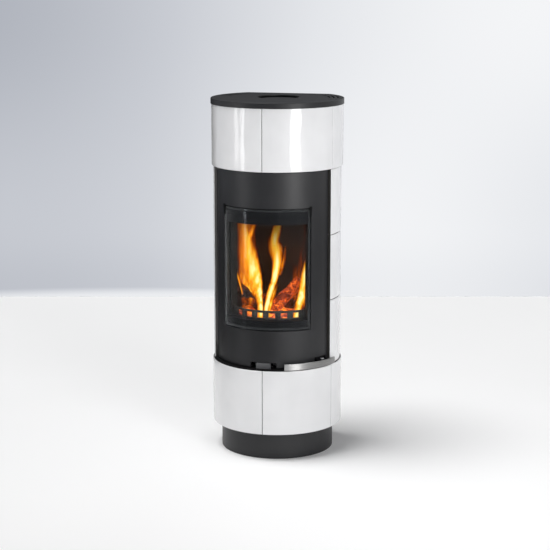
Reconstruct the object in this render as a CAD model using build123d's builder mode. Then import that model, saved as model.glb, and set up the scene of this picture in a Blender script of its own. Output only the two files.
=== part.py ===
from build123d import *

import os
from math import asin, atan2, cos, degrees, hypot, radians, sin

# Column stove with glazed tile rings, a full-height curved door and a flue outlet behind.
# Millimetres. +Z is up, the front faces -Y, and the origin is on the floor, on the axis of
# the tile rings. Angles in plan are in degrees from the front, positive towards +X.

# ---------------------------------------------------------------- driving dimensions
# Tiles
TILE_RADIUS = 250.0  # outside of the upper and lower rings
TILE_STEP = 6.0  # side tiles stand back from the rings by this much
RING_TILE_THICKNESS = 22.0
TILE_ARC = 69.0  # angle that one tile takes
TILE_JOINT = 1.6
TILE_ROUND = 3.5
TILE_RIM = 18.0  # solid border round the pocket in a tile's back
TILE_POCKET = 6.0
OVERCUT = 1.0  # cutters pass the faces that they cut by this much
COURSE_HEIGHT = 250.0
SIDE_COURSES = 3

# Sheet and plate
SEAT_GAP = 0.3  # between curved faces that seat on each other
JACKET_SHEET = 2.5
JACKET_END = 2.0  # degrees that the sheet stops short of the last tiles
JACKET_SETBACK = 1.0  # degrees behind the front edges of the side tiles
JACKET_NOTCH = 30.0  # lets warm air reach the outer slots of the top plate
SHELF_PLATE = 3.0
SHELF_OVERHANG = 12.3  # the lowest shelf reaches under the tiles
SHELF_LIP_INSET = 1.5  # the middle shelf covers the lower ring to here from its face
REAR_GAP = 1.7  # between the ends of the last tiles and the rear panel
REAR_SHEET = 2.5
REAR_LAP = 2.8  # the rear panel reaches past the ends of the jackets
SHELF_VENT_START = 80.0
SHELF_VENT_END = 120.0

# Plinth
PLINTH_INSET = 11.2  # from the jackets
PLINTH_HEIGHT = 104.0
PLINTH_BACK_INSET = 7.5  # from the rear panel
PLINTH_SHEET = 3.0
BASE_PLATE = 4.0

# Top plate
TOP_OVERHANG = 3.0
TOP_PLATE = 4.0
TOP_RIM_DEPTH = 17.0  # skirt below the plate
TOP_EDGE_ROUND = 2.4
TOP_SLOT_WIDTH = 7.0
TOP_SLOT_START = 98.0
TOP_SLOTS = ((53.0, 131.0), (37.0, 122.0), (21.0, 116.0))  # inset from the tiles, end angle

# Firebox
SHELL_SPACE = 32.0  # from the face of the door to the shell
SHELL_WALL = 4.0
SHELL_REAR_SPACE = 37.5  # from the shell to the rear panel
SHELL_HEADROOM = 54.0  # from the shell's top to the top of the tiles
LINING = 26.7
LINING_GAP = 0.3
LINING_HEIGHT = 500.0
LINING_SETBACK = 2.5  # degrees behind the edges of the shell's opening
LINING_END = 150.0
PAN_HEADROOM = 44.0  # from the ash pan to the hearth plate
HEARTH_PLATE = 4.0
HEARTH_BRICK = 30.0
GRATE_WIDTH = 150.0
GRATE_DEPTH = 170.0
GRATE_THICKNESS = 12.0
GRATE_BAR = 8.0
GRATE_SLOTS = 8
ASH_HOLE_MARGIN = 10.0
GUARD_SPACE = 5.0  # between the guard and the shell
GUARD_WALL = 6.0
GUARD_HEIGHT = 72.0
GUARD_SETBACK = 1.5  # degrees inside the shell's opening
GUARD_NOTCHES = 6
GUARD_PITCH = 14.0
GUARD_NOTCH_WIDTH = 25.0
GUARD_NOTCH_LOW = 44.0
GUARD_NOTCH_HEIGHT = 20.0
BAFFLE = 25.0
BAFFLE_FRONT = 95.0
BAFFLE_SPACING = 60.0
BAFFLE_FOOT_SPAN = 240.0
BAFFLE_FOOT_WIDTH = 26.0
BAFFLE_FOOT_DEPTH = 100.0
BAFFLE_REAR_SLOT = 45.0

# Openings that the door covers
VIEW_INSET = 3.0  # degrees inside the window
VIEW_STEP = 6.2  # from the sides of the frame's opening to those of the shell's
VIEW_SILL = 40.0  # above the hearth
VIEW_HEIGHT = 365.0
PAN_SIDE_SPACE = 7.0
PAN_SPACE_BELOW = 2.0
PAN_SPACE_ABOVE = 12.0
ASH_OPENING_ROUND = 6.0

# Flue and combustion air
FLUE_RADIUS = 75.0  # inside of a flue pipe
FLUE_WALL = 2.5
FLUE_PIPE_CLEARANCE = 0.4
FLUE_TOP_Y = 19.0
FLUE_SINK = 8.0  # depth of the cover below the top plate
FLUE_REAR_RISE = 9.0  # from the top of the side tiles to the rear collar's flange
FLUE_REAR_REACH = 34.5  # behind the front of the rear panel
FLUE_FLANGE = 12.0
FLUE_FLANGE_PLATE = 4.0
COVER_CLEARANCE = 1.0
COVER_PLATE = 4.0
COVER_CHAMFER = 1.0
COVER_SPIGOT = 8.0
BLANKING_PLATE = 6.0
BLANKING_SEAT = 5.0
AIR_RADIUS = 50.0
AIR_WALL = 1.5
AIR_RISE = 76.0  # from the lowest shelf to the middle of the inlet
AIR_BEND = 75.0
AIR_RISE_Y = 40.0
AIR_COLLAR = 30.0
AIR_FLANGE = 12.0

# Door
DOOR_SETBACK = 19.0  # behind the face of the tile rings
DOOR_SHEET = 3.0
DOOR_SIDE_GAP = 1.0  # degrees
DOOR_FLOOR_GAP = 4.0
DOOR_HEAD_GAP = 1.5
DOOR_FLANGE = 23.0  # depth of the turned-in top and bottom edges
WINDOW_ARC = 46.5
WINDOW_BELOW = 38.0  # below the view opening
WINDOW_ABOVE = 61.0  # above the view opening
GLASS_GAP = 3.0
GLASS = 4.0
GLASS_SET_BACK = 0.7
GASKET = 2.0
GASKET_WIDTH = 8.0
GASKET_INSET = 1.0
FRAME_SHEET = 3.0
FRAME_SETBACK = 6.0  # degrees inside the door's edges
SEAL_DEPTH = 4.2
SEAL_WIDTH = 10.0
CLIP_HEIGHT = 40.0
CLIP_TOP_WIDTH = 11.0
CLIP_FOOT_WIDTH = 5.0
CLIP_PLATE = 2.0
CLIP_RISE = 5.0  # above the window opening
CLIP_LIFT = 0.15  # the flat clip just clears the curved sheet
CLIP_ROUND = 1.5
SLIDER_CUT_ARC = 12.5
SLIDER_CUT_HEIGHT = 20.0
SLIDER_FLANGE_CUT = 25.0  # the flange swings past the tab as the door opens
LATCH_CUT_ARC = 15.0
LATCH_CUT_SETBACK = 2.0  # degrees inside the door's edge
LATCH_CUT_HEIGHT = 30.0

# Door hinge
HINGE_INSET = 9.0  # behind the face of the door
HINGE_SETBACK = 1.7  # degrees inside the door's edge
HINGE_PIN = 4.0
HINGE_CLEARANCE = 0.05
HINGE_BUSH_WALL = 1.6
HINGE_BUSH = 18.0
HINGE_COLLAR = 7.0
HINGE_PIN_SHORT = 1.0  # the pins end inside their bushes

# Handle
HANDLE_STANDOFF = 21.0  # from the face of the door to the bar
HANDLE_BAR = 5.0
HANDLE_START = 19.3
HANDLE_OVERHANG = 4.0  # degrees past the door's edge
HANDLE_RISE = 3.0  # above the tiles below
HANDLE_ROUND = 0.8
HANDLE_HEIGHT = 24.5
PIVOT_REACH = 5.0  # in front of the face of the door
PIVOT_SETBACK = 8.5  # degrees inside the door's edge
PIVOT_PIN = 4.0
BARREL_RADIUS = 7.5
BARREL_HEIGHT = 16.4
BRACKET_EAR = 3.0
BRACKET_REACH = 13.0  # of the ears, in front of the face of the door
BRACKET_ARC = 12.0
BRACKET_SETBACK = 3.0  # degrees inside the door's edge
BRACKET_LIFT = 0.6
BRACKET_HEIGHT = 46.4
BRACKET_SLOT_START = 3.5  # degrees before the pivot
BRACKET_SLOT_MARGIN = 1.0  # degrees inside the bracket's edge
PIN_HEAD = 3.5
PIN_HEAD_ROUND = 1.2
LEVER_WEB = 10.0
LATCH_ARM = 5.0
KEEPER_INSET = 14.0  # behind the face of the door
KEEPER_SETBACK = 1.5  # degrees inside the door's edge
KEEPER_CHAMFER = 1.0
KEEPER_PIN = 4.0
KEEPER_GAP = 1.0

# Ash pan
PAN_WIDTH = 200.0
PAN_SETBACK = 39.0  # behind the front of the shell
PAN_DEPTH = 240.0
PAN_HEIGHT = 60.0
PAN_SHEET = 1.5
PAN_RUNNER = 35.0
RUNNER_SHEET = 2.0
RUNNER_FOOT = 20.0
PAN_GRIP_WIDTH = 60.0
PAN_GRIP_REACH = 20.0
PAN_GRIP_ROD = 3.0
PAN_GRIP_ROUND = 8.0

# Air slider
SLIDER_ARC = 21.0
SLIDER_STRIP = 2.5
SLIDER_HEIGHT = 18.0
SLIDER_TAB_ARC = 7.1
SLIDER_TAB_HEIGHT = 21.5
SLIDER_TAB = 4.0
SLIDER_ARM_ARC = 3.0
SLIDER_PLATE = 2.5
AIR_SLOTS = 5
AIR_SLOT_PITCH = 7.0
AIR_SLOT_ARC = 3.5
AIR_SLOT_LOW = 5.0
AIR_SLOT_HEIGHT = 9.0
GUIDE_START = 9.0
GUIDE_END = 28.0
GUIDE_HEIGHT = 8.0
GUIDE_WALL = 2.0

# Rear panel and inner shields
SHIELD_SHEET = 1.5
SHIELD_SPACE = 19.5  # from the shield to the rear panel
SHIELD_HALF_WIDTH = 120.0
SHIELD_BELOW_FLUE = 68.0
VENT_LENGTH = 70.0
VENT_HEIGHT = 6.0
VENT_PITCH_X = 90.0
VENT_PITCH_Z = 14.0
VENT_ROWS = 3
VENT_BELOW_SHELF = 24.0
VENT_BELOW_TOP = 36.0
SCREW_HEAD = 4.5
SCREW_HEAD_HEIGHT = 2.4
SCREW_INSET = 12.0
SCREW_END_INSET = 24.0
SCREW_ROWS = 6
CHEEK_WIDTH = 30.0
CHEEK_DEPTH = 180.0
CHEEK_X = 110.0
CHEEK_SHEET = 3.0

# ---------------------------------------------------------------- derived levels and radii
lower_z = PLINTH_HEIGHT
side_z = lower_z + COURSE_HEIGHT
upper_z = side_z + SIDE_COURSES * COURSE_HEIGHT
top_z = upper_z + COURSE_HEIGHT
floor_z = side_z + SHELF_PLATE
ceiling_z = upper_z - SHELF_PLATE

tile_back = TILE_RADIUS - RING_TILE_THICKNESS
side_tile_radius = TILE_RADIUS - TILE_STEP
jacket_outer = tile_back - SEAT_GAP
jacket_inner = jacket_outer - JACKET_SHEET
jacket_arc = 2 * TILE_ARC - JACKET_END
rear_face = -TILE_RADIUS * cos(radians(2 * TILE_ARC)) + REAR_GAP
rear_half_width = jacket_outer * sin(radians(jacket_arc)) + REAR_LAP
plinth_radius = jacket_outer - PLINTH_INSET
plinth_back = rear_face - PLINTH_BACK_INSET

pan_z = floor_z + PAN_RUNNER
ash_opening_low = pan_z - PAN_SPACE_BELOW
ash_opening_high = pan_z + PAN_HEIGHT + PAN_SPACE_ABOVE
ash_opening_width = PAN_WIDTH + 2 * PAN_SIDE_SPACE
hearth_z = pan_z + PAN_HEIGHT + PAN_HEADROOM + HEARTH_PLATE

view_arc = WINDOW_ARC - VIEW_INSET
view_low = hearth_z + VIEW_SILL
view_high = view_low + VIEW_HEIGHT
window_low = view_low - WINDOW_BELOW
window_high = view_high + WINDOW_ABOVE

door_radius = TILE_RADIUS - DOOR_SETBACK
door_arc = TILE_ARC - DOOR_SIDE_GAP
shell_radius = door_radius - SHELL_SPACE
shell_back = rear_face - SHELL_REAR_SPACE
shell_top = top_z - SHELL_HEADROOM
shell_inner = shell_radius - SHELL_WALL
guard_radius = shell_inner - GUARD_SPACE
lining_outer = shell_inner - LINING_GAP
lining_inner = lining_outer - LINING
lining_rear = shell_back - SHELL_WALL - LINING_GAP
lining_top = hearth_z + LINING_HEIGHT
pan_front = shell_radius - PAN_SETBACK

flue_z = upper_z + FLUE_REAR_RISE + FLUE_FLANGE + FLUE_RADIUS
flue_rear_end = rear_face + FLUE_REAR_REACH
air_z = lower_z + AIR_RISE
shield_face = rear_face - SHIELD_SPACE
shield_top = flue_z - FLUE_RADIUS - SHIELD_BELOW_FLUE

door_inner = door_radius - DOOR_SHEET
door_low = floor_z + DOOR_FLOOR_GAP
door_high = ceiling_z - DOOR_HEAD_GAP
glass_outer = door_radius - GLASS_SET_BACK
glass_inner = glass_outer - GLASS
frame_outer = glass_inner - SEAT_GAP - GASKET
frame_inner = frame_outer - FRAME_SHEET
seal_inner = shell_radius + SEAT_GAP
seal_outer = seal_inner + SEAL_DEPTH
frame_arc = door_arc - FRAME_SETBACK
frame_low = ash_opening_low - SEAL_WIDTH
frame_high = door_high - DOOR_SHEET
glass_arc = WINDOW_ARC - degrees(GLASS_GAP / door_radius)
frame_view_half = frame_outer * sin(radians(view_arc))
shell_view_half = frame_view_half - VIEW_STEP
shell_view_arc = degrees(asin(shell_view_half / shell_inner))
guard_arc = shell_view_arc - GUARD_SETBACK
lining_start = shell_view_arc + LINING_SETBACK
glass_low = window_low + GLASS_GAP
glass_high = window_high - GLASS_GAP

handle_radius = door_radius + HANDLE_STANDOFF
handle_end = door_arc + HANDLE_OVERHANG
handle_low = side_z + HANDLE_RISE
pivot_radius = door_radius + PIVOT_REACH
pivot_angle = door_arc - PIVOT_SETBACK
ear_outer = door_radius + BRACKET_REACH
bracket_end = door_arc - BRACKET_SETBACK
bracket_start = bracket_end - BRACKET_ARC
bracket_low = floor_z + BRACKET_LIFT
bracket_high = bracket_low + BRACKET_HEIGHT
latch_cut_end = door_arc - LATCH_CUT_SETBACK
latch_cut_start = latch_cut_end - LATCH_CUT_ARC

cover_z = top_z + TOP_PLATE - FLUE_SINK - COVER_PLATE


def plan_point(radius, angle):
    """Point in plan at a radius and an angle from the front."""
    return (radius * sin(radians(angle)), -radius * cos(radians(angle)))


def arc_angle(length, radius):
    """Angle that a length takes along a circle."""
    return degrees(length / radius)


def sector(inner, outer, start, end):
    """Curved strip in plan between two radii and two angles."""
    with BuildSketch(mode=Mode.PRIVATE) as strip:
        with BuildLine():
            CenterArc((0, 0), outer, start - 90, end - start)
            CenterArc((0, 0), inner, start - 90, end - start)
            Line(plan_point(inner, start), plan_point(outer, start))
            Line(plan_point(inner, end), plan_point(outer, end))
        make_face()
    return strip.sketch


def d_plan(radius, back):
    """Disc with a flat back at Y = back."""
    with BuildSketch(mode=Mode.PRIVATE) as disc:
        Circle(radius)
        with Locations((0, back + radius)):
            Rectangle(2 * radius, 2 * radius, mode=Mode.SUBTRACT)
    return disc.sketch


def curved_slot(radius, width, start, end):
    """Arc-shaped slot with round ends."""
    with BuildSketch(mode=Mode.PRIVATE) as slot:
        add(sector(radius - width / 2, radius + width / 2, start, end))
        for angle in (start, end):
            with Locations(plan_point(radius, angle)):
                Circle(width / 2)
    return slot.sketch


def finish(piece, name):
    """Label a finished piece and write it."""
    piece.part.label = name
    export_step(piece.part, f"parts/{name}.step")


os.makedirs("parts", exist_ok=True)

# ---------------------------------------------------------------- plinth and shelves
with BuildPart() as plinth:
    with BuildSketch():
        add(d_plan(plinth_radius, plinth_back))
    extrude(amount=PLINTH_HEIGHT - SHELF_PLATE)
    with BuildSketch(Plane.XY.offset(BASE_PLATE)):
        add(d_plan(plinth_radius - PLINTH_SHEET, plinth_back - PLINTH_SHEET))
    extrude(amount=PLINTH_HEIGHT, mode=Mode.SUBTRACT)
finish(plinth, "plinth")

with BuildPart() as lower_shelf:
    with BuildSketch(Plane.XY.offset(lower_z - SHELF_PLATE)):
        add(d_plan(jacket_outer + SHELF_OVERHANG, rear_face))
    extrude(amount=SHELF_PLATE)
finish(lower_shelf, "lower_shelf")

with BuildPart() as middle_shelf:
    with BuildSketch(Plane.XY.offset(side_z)):
        add(d_plan(jacket_outer, rear_face))
        add(sector(jacket_inner, TILE_RADIUS - SHELF_LIP_INSET, -door_arc, door_arc))
        with Locations((0, AIR_RISE_Y)):
            Circle(AIR_RADIUS - AIR_WALL, mode=Mode.SUBTRACT)
    extrude(amount=SHELF_PLATE)
finish(middle_shelf, "middle_shelf")

with BuildPart() as upper_shelf:
    with BuildSketch(Plane.XY.offset(ceiling_z)):
        add(d_plan(jacket_outer, rear_face))
        add(d_plan(shell_radius + SEAT_GAP, shell_back + SEAT_GAP), mode=Mode.SUBTRACT)
        vent_radius = (shell_radius + jacket_inner) / 2
        vent = curved_slot(vent_radius, TOP_SLOT_WIDTH, SHELF_VENT_START, SHELF_VENT_END)
        add(vent, mode=Mode.SUBTRACT)
        add(vent.mirror(Plane.YZ), mode=Mode.SUBTRACT)
    extrude(amount=SHELF_PLATE)
finish(upper_shelf, "upper_shelf")

# ---------------------------------------------------------------- sheet jackets that carry the tiles
with BuildPart() as lower_jacket:
    with BuildSketch(Plane.XY.offset(lower_z)):
        add(sector(jacket_inner, jacket_outer, -jacket_arc, jacket_arc))
    extrude(amount=COURSE_HEIGHT)
finish(lower_jacket, "lower_jacket")

with BuildPart() as side_jackets:
    with BuildSketch(Plane.XY.offset(floor_z)):
        add(sector(jacket_inner, jacket_outer, -jacket_arc, -TILE_ARC - JACKET_SETBACK))
        add(sector(jacket_inner, jacket_outer, TILE_ARC + JACKET_SETBACK, jacket_arc))
    extrude(amount=ceiling_z - floor_z)
finish(side_jackets, "side_jackets")

with BuildPart() as upper_jacket:
    with BuildSketch(Plane.XY.offset(upper_z)):
        add(sector(jacket_inner, jacket_outer, -jacket_arc, jacket_arc))
    extrude(amount=COURSE_HEIGHT)
    with BuildSketch(Plane.XY.offset(top_z - JACKET_NOTCH)):
        outer_slot_end = TOP_SLOTS[-1][1]
        notch_inner, notch_outer = jacket_inner - OVERCUT, jacket_outer + OVERCUT
        notch = sector(notch_inner, notch_outer, TOP_SLOT_START, outer_slot_end)
        add(notch)
        add(notch.mirror(Plane.YZ))
    extrude(amount=JACKET_NOTCH, mode=Mode.SUBTRACT)
finish(upper_jacket, "upper_jacket")

with BuildPart() as support_cheeks:
    with BuildSketch(Plane.XY.offset(lower_z)):
        for side in (-1, 1):
            with Locations((side * CHEEK_X, 0)):
                Rectangle(CHEEK_WIDTH, CHEEK_DEPTH)
            with Locations((side * (CHEEK_X - CHEEK_SHEET), 0)):
                Rectangle(CHEEK_WIDTH, CHEEK_DEPTH - 2 * CHEEK_SHEET, mode=Mode.SUBTRACT)
    extrude(amount=COURSE_HEIGHT)
finish(support_cheeks, "support_cheeks")


# ---------------------------------------------------------------- glazed tiles
def tile(outer, start, low):
    """One curved tile: rounded outer edges and a pocket in its back."""
    half_joint = arc_angle(TILE_JOINT / 2, outer)
    rim_arc = arc_angle(TILE_RIM, tile_back)
    height = COURSE_HEIGHT - TILE_JOINT
    first = start + half_joint
    last = start + TILE_ARC - half_joint
    with BuildPart() as body:
        with BuildSketch(Plane.XY.offset(low)):
            add(sector(tile_back, outer, first, last))
        extrude(amount=height)
        face = body.faces().filter_by(GeomType.CYLINDER).sort_by(SortBy.AREA)[-1]
        fillet(face.edges(), radius=TILE_ROUND)
        with BuildSketch(Plane.XY.offset(low + TILE_RIM)):
            add(sector(tile_back - OVERCUT, tile_back + TILE_POCKET, first + rim_arc, last - rim_arc))
        extrude(amount=height - 2 * TILE_RIM, mode=Mode.SUBTRACT)
    return body


ring_starts = [(index - 2) * TILE_ARC for index in range(4)]
for course, low in (("lower", lower_z), ("upper", upper_z)):
    for index, start in enumerate(ring_starts, 1):
        finish(tile(TILE_RADIUS, start, low), f"{course}_ring_tile_{index}")
for row in range(SIDE_COURSES):
    for side, start in (("left", -2 * TILE_ARC), ("right", TILE_ARC)):
        low = side_z + row * COURSE_HEIGHT
        finish(tile(side_tile_radius, start, low), f"{side}_side_tile_{row + 1}")

# ---------------------------------------------------------------- top plate and flue cover
with BuildPart() as top_plate:
    with BuildSketch(Plane.XY.offset(top_z - TOP_RIM_DEPTH)):
        add(d_plan(TILE_RADIUS + TOP_OVERHANG, rear_face + REAR_SHEET + TOP_OVERHANG))
    extrude(amount=TOP_RIM_DEPTH + TOP_PLATE)
    fillet(top_plate.faces().sort_by(Axis.Z)[-1].edges(), radius=TOP_EDGE_ROUND)
    with BuildSketch(Plane.XY.offset(top_z - TOP_RIM_DEPTH)):
        add(d_plan(TILE_RADIUS + SEAT_GAP, rear_face + REAR_SHEET + SEAT_GAP))
    extrude(amount=TOP_RIM_DEPTH, mode=Mode.SUBTRACT)
    with BuildSketch(Plane.XY.offset(top_z)):
        with Locations((0, FLUE_TOP_Y)):
            Circle(FLUE_RADIUS + FLUE_WALL + 2 * COVER_CLEARANCE)
        for inset, end in TOP_SLOTS:
            slot = curved_slot(TILE_RADIUS - inset, TOP_SLOT_WIDTH, TOP_SLOT_START, end)
            add(slot)
            add(slot.mirror(Plane.YZ))
    extrude(amount=TOP_PLATE, mode=Mode.SUBTRACT)
finish(top_plate, "top_plate")

with BuildPart() as flue_cover:
    with BuildSketch(Plane.XY.offset(cover_z)):
        with Locations((0, FLUE_TOP_Y)):
            Circle(FLUE_RADIUS + FLUE_WALL + COVER_CLEARANCE)
    extrude(amount=COVER_PLATE)
    chamfer(flue_cover.faces().sort_by(Axis.Z)[-1].edges(), length=COVER_CHAMFER)
    with BuildSketch(Plane.XY.offset(cover_z - COVER_SPIGOT)):
        with Locations((0, FLUE_TOP_Y)):
            Circle(FLUE_RADIUS - COVER_CLEARANCE)
            Circle(FLUE_RADIUS - COVER_CLEARANCE - COVER_PLATE, mode=Mode.SUBTRACT)
    extrude(amount=COVER_SPIGOT)
finish(flue_cover, "flue_cover")

# ---------------------------------------------------------------- firebox
with BuildPart() as firebox_shell:
    with BuildSketch(Plane.XY.offset(floor_z)):
        add(d_plan(shell_radius, shell_back))
        add(d_plan(shell_inner, shell_back - SHELL_WALL), mode=Mode.SUBTRACT)
    extrude(amount=shell_top - floor_z)
    with BuildSketch(Plane.XZ):
        with Locations((0, (view_low + view_high) / 2)):
            Rectangle(2 * shell_view_half, view_high - view_low)
        with Locations((0, (ash_opening_low + ash_opening_high) / 2)):
            RectangleRounded(ash_opening_width, ash_opening_high - ash_opening_low, ASH_OPENING_ROUND)
    extrude(amount=TILE_RADIUS, mode=Mode.SUBTRACT)
    with BuildSketch(Plane.XY.offset(floor_z + AIR_SLOT_LOW)):
        for index in range(AIR_SLOTS):
            middle = (index - (AIR_SLOTS - 1) / 2) * AIR_SLOT_PITCH
            low, high = middle - AIR_SLOT_ARC / 2, middle + AIR_SLOT_ARC / 2
            add(sector(shell_inner - OVERCUT, shell_radius + OVERCUT, low, high))
    extrude(amount=AIR_SLOT_HEIGHT, mode=Mode.SUBTRACT)
    with BuildSketch(Plane.XZ):
        with Locations((0, flue_z)):
            Circle(FLUE_RADIUS - FLUE_WALL)
    extrude(amount=-TILE_RADIUS, mode=Mode.SUBTRACT)
finish(firebox_shell, "firebox_shell")

with BuildPart() as firebox_top:
    with BuildSketch(Plane.XY.offset(shell_top)):
        add(d_plan(shell_radius, shell_back))
        with Locations((0, FLUE_TOP_Y)):
            Circle(FLUE_RADIUS - BLANKING_SEAT, mode=Mode.SUBTRACT)
    extrude(amount=SHELL_WALL)
    with BuildSketch(Plane.XY.offset(shell_top + SHELL_WALL)):
        with Locations((0, FLUE_TOP_Y)):
            Circle(FLUE_RADIUS + FLUE_WALL)
            Circle(FLUE_RADIUS, mode=Mode.SUBTRACT)
    extrude(amount=cover_z - shell_top - SHELL_WALL)
finish(firebox_top, "firebox_top")

with BuildPart() as blanking_plate:
    with BuildSketch(Plane.XY.offset(shell_top + SHELL_WALL)):
        with Locations((0, FLUE_TOP_Y)):
            Circle(FLUE_RADIUS - SEAT_GAP)
    extrude(amount=BLANKING_PLATE)
finish(blanking_plate, "blanking_plate")

with BuildPart() as rear_flue_collar:
    with BuildSketch(Plane.XZ.offset(-shell_back)):
        with Locations((0, flue_z)):
            Circle(FLUE_RADIUS + FLUE_FLANGE)
            Circle(FLUE_RADIUS - FLUE_WALL, mode=Mode.SUBTRACT)
    extrude(amount=-FLUE_FLANGE_PLATE)
    with BuildSketch(Plane.XZ.offset(-shell_back - FLUE_FLANGE_PLATE)):
        with Locations((0, flue_z)):
            Circle(FLUE_RADIUS - FLUE_PIPE_CLEARANCE)
            Circle(FLUE_RADIUS - FLUE_WALL, mode=Mode.SUBTRACT)
    extrude(amount=-(flue_rear_end - shell_back - FLUE_FLANGE_PLATE))
finish(rear_flue_collar, "rear_flue_collar")

with BuildPart() as hearth_plate:
    with BuildSketch(Plane.XY.offset(hearth_z - HEARTH_PLATE)):
        add(d_plan(lining_outer, lining_rear))
        Rectangle(
            GRATE_WIDTH - 2 * ASH_HOLE_MARGIN, GRATE_DEPTH - 2 * ASH_HOLE_MARGIN, mode=Mode.SUBTRACT
        )
    extrude(amount=HEARTH_PLATE)
finish(hearth_plate, "hearth_plate")

with BuildPart() as hearth_brick:
    with BuildSketch(Plane.XY.offset(hearth_z)):
        add(d_plan(lining_inner - LINING_GAP, lining_rear - LINING - LINING_GAP))
        Rectangle(GRATE_WIDTH + 2 * LINING_GAP, GRATE_DEPTH + 2 * LINING_GAP, mode=Mode.SUBTRACT)
    extrude(amount=HEARTH_BRICK)
finish(hearth_brick, "hearth_brick")

with BuildPart() as grate:
    with BuildSketch(Plane.XY.offset(hearth_z)):
        Rectangle(GRATE_WIDTH, GRATE_DEPTH)
        slot_pitch = (GRATE_WIDTH - GRATE_BAR) / GRATE_SLOTS
        slot_length = (GRATE_DEPTH - 3 * GRATE_BAR) / 2
        with GridLocations(slot_pitch, slot_length + GRATE_BAR, GRATE_SLOTS, 2):
            SlotOverall(slot_length, slot_pitch - GRATE_BAR, rotation=90, mode=Mode.SUBTRACT)
    extrude(amount=GRATE_THICKNESS)
finish(grate, "grate")

with BuildPart() as back_brick:
    with BuildSketch(Plane.XY.offset(hearth_z)):
        add(d_plan(lining_outer, lining_rear))
        with Locations((0, lining_rear - LINING - lining_outer)):
            Rectangle(2 * lining_outer, 2 * lining_outer, mode=Mode.SUBTRACT)
    extrude(amount=LINING_HEIGHT)
finish(back_brick, "back_brick")

for name, start, end in (
    ("left_brick", -LINING_END, -lining_start),
    ("right_brick", lining_start, LINING_END),
):
    with BuildPart() as side_brick:
        with BuildSketch(Plane.XY.offset(hearth_z)):
            add(sector(lining_inner, lining_outer, start, end))
            with Locations((0, lining_rear - LINING - LINING_GAP + lining_outer)):
                Rectangle(2 * lining_outer, 2 * lining_outer, mode=Mode.SUBTRACT)
        extrude(amount=LINING_HEIGHT)
    finish(side_brick, name)

with BuildPart() as log_guard:
    with BuildSketch(Plane.XY.offset(hearth_z)):
        add(sector(guard_radius - GUARD_WALL, guard_radius, -guard_arc, guard_arc))
    extrude(amount=GUARD_HEIGHT)
    with BuildSketch(Plane.XY.offset(hearth_z + GUARD_NOTCH_LOW)):
        notch_arc = arc_angle(GUARD_NOTCH_WIDTH, guard_radius)
        for index in range(GUARD_NOTCHES):
            middle = (index - (GUARD_NOTCHES - 1) / 2) * GUARD_PITCH
            low, high = middle - notch_arc / 2, middle + notch_arc / 2
            add(sector(guard_radius - GUARD_WALL - OVERCUT, guard_radius + OVERCUT, low, high))
    extrude(amount=GUARD_NOTCH_HEIGHT, mode=Mode.SUBTRACT)
finish(log_guard, "log_guard")

with BuildPart() as lower_baffle:
    with BuildSketch(Plane.XY.offset(lining_top)):
        add(d_plan(lining_outer, lining_rear))
        with Locations((0, -BAFFLE_FRONT - lining_outer)):
            Rectangle(2 * lining_outer, 2 * lining_outer, mode=Mode.SUBTRACT)
    extrude(amount=BAFFLE)
finish(lower_baffle, "lower_baffle")

with BuildPart() as upper_baffle:
    with BuildSketch(Plane.XY.offset(lining_top + BAFFLE + BAFFLE_SPACING)):
        add(d_plan(lining_outer, lining_rear - BAFFLE_REAR_SLOT))
    extrude(amount=BAFFLE)
    with BuildSketch(Plane.XY.offset(lining_top + BAFFLE)):
        with GridLocations(BAFFLE_FOOT_SPAN, 0, 2, 1):
            Rectangle(BAFFLE_FOOT_WIDTH, BAFFLE_FOOT_DEPTH)
    extrude(amount=BAFFLE_SPACING)
finish(upper_baffle, "upper_baffle")

# ---------------------------------------------------------------- combustion air
with BuildPart() as air_duct:
    with BuildLine() as duct_path:
        start = Line((0, rear_face, air_z), (0, AIR_RISE_Y + AIR_BEND, air_z))
        bend = TangentArc(
            start @ 1, (0, AIR_RISE_Y, air_z + AIR_BEND), tangent=start % 1
        )
        Line(bend @ 1, (0, AIR_RISE_Y, side_z))
    with BuildSketch(Plane.XZ.offset(-rear_face)):
        with Locations((0, air_z)):
            Circle(AIR_RADIUS)
            Circle(AIR_RADIUS - AIR_WALL, mode=Mode.SUBTRACT)
    sweep()
finish(air_duct, "air_duct")

with BuildPart() as air_inlet_collar:
    with BuildSketch(Plane.XZ.offset(-rear_face - REAR_SHEET)):
        with Locations((0, air_z)):
            Circle(AIR_RADIUS + AIR_FLANGE)
            Circle(AIR_RADIUS - AIR_WALL, mode=Mode.SUBTRACT)
    extrude(amount=-REAR_SHEET)
    with BuildSketch(Plane.XZ.offset(-rear_face - 2 * REAR_SHEET)):
        with Locations((0, air_z)):
            Circle(AIR_RADIUS)
            Circle(AIR_RADIUS - AIR_WALL, mode=Mode.SUBTRACT)
    extrude(amount=-AIR_COLLAR)
finish(air_inlet_collar, "air_inlet_collar")

# ---------------------------------------------------------------- back of the stove
with BuildPart() as rear_panel:
    with BuildSketch(Plane.XZ.offset(-rear_face)):
        with Locations((0, (lower_z - SHELF_PLATE + top_z) / 2)):
            Rectangle(2 * rear_half_width, top_z - lower_z + SHELF_PLATE)
        with Locations((0, air_z)):
            Circle(AIR_RADIUS - AIR_WALL, mode=Mode.SUBTRACT)
        with Locations((0, flue_z)):
            Circle(FLUE_RADIUS + FLUE_WALL + COVER_CLEARANCE, mode=Mode.SUBTRACT)
        for middle in (side_z - VENT_BELOW_SHELF, top_z - VENT_BELOW_TOP):
            with Locations((0, middle)):
                with GridLocations(VENT_PITCH_X, VENT_PITCH_Z, 3, VENT_ROWS):
                    SlotOverall(VENT_LENGTH, VENT_HEIGHT, mode=Mode.SUBTRACT)
    extrude(amount=-REAR_SHEET)
finish(rear_panel, "rear_panel")

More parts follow.
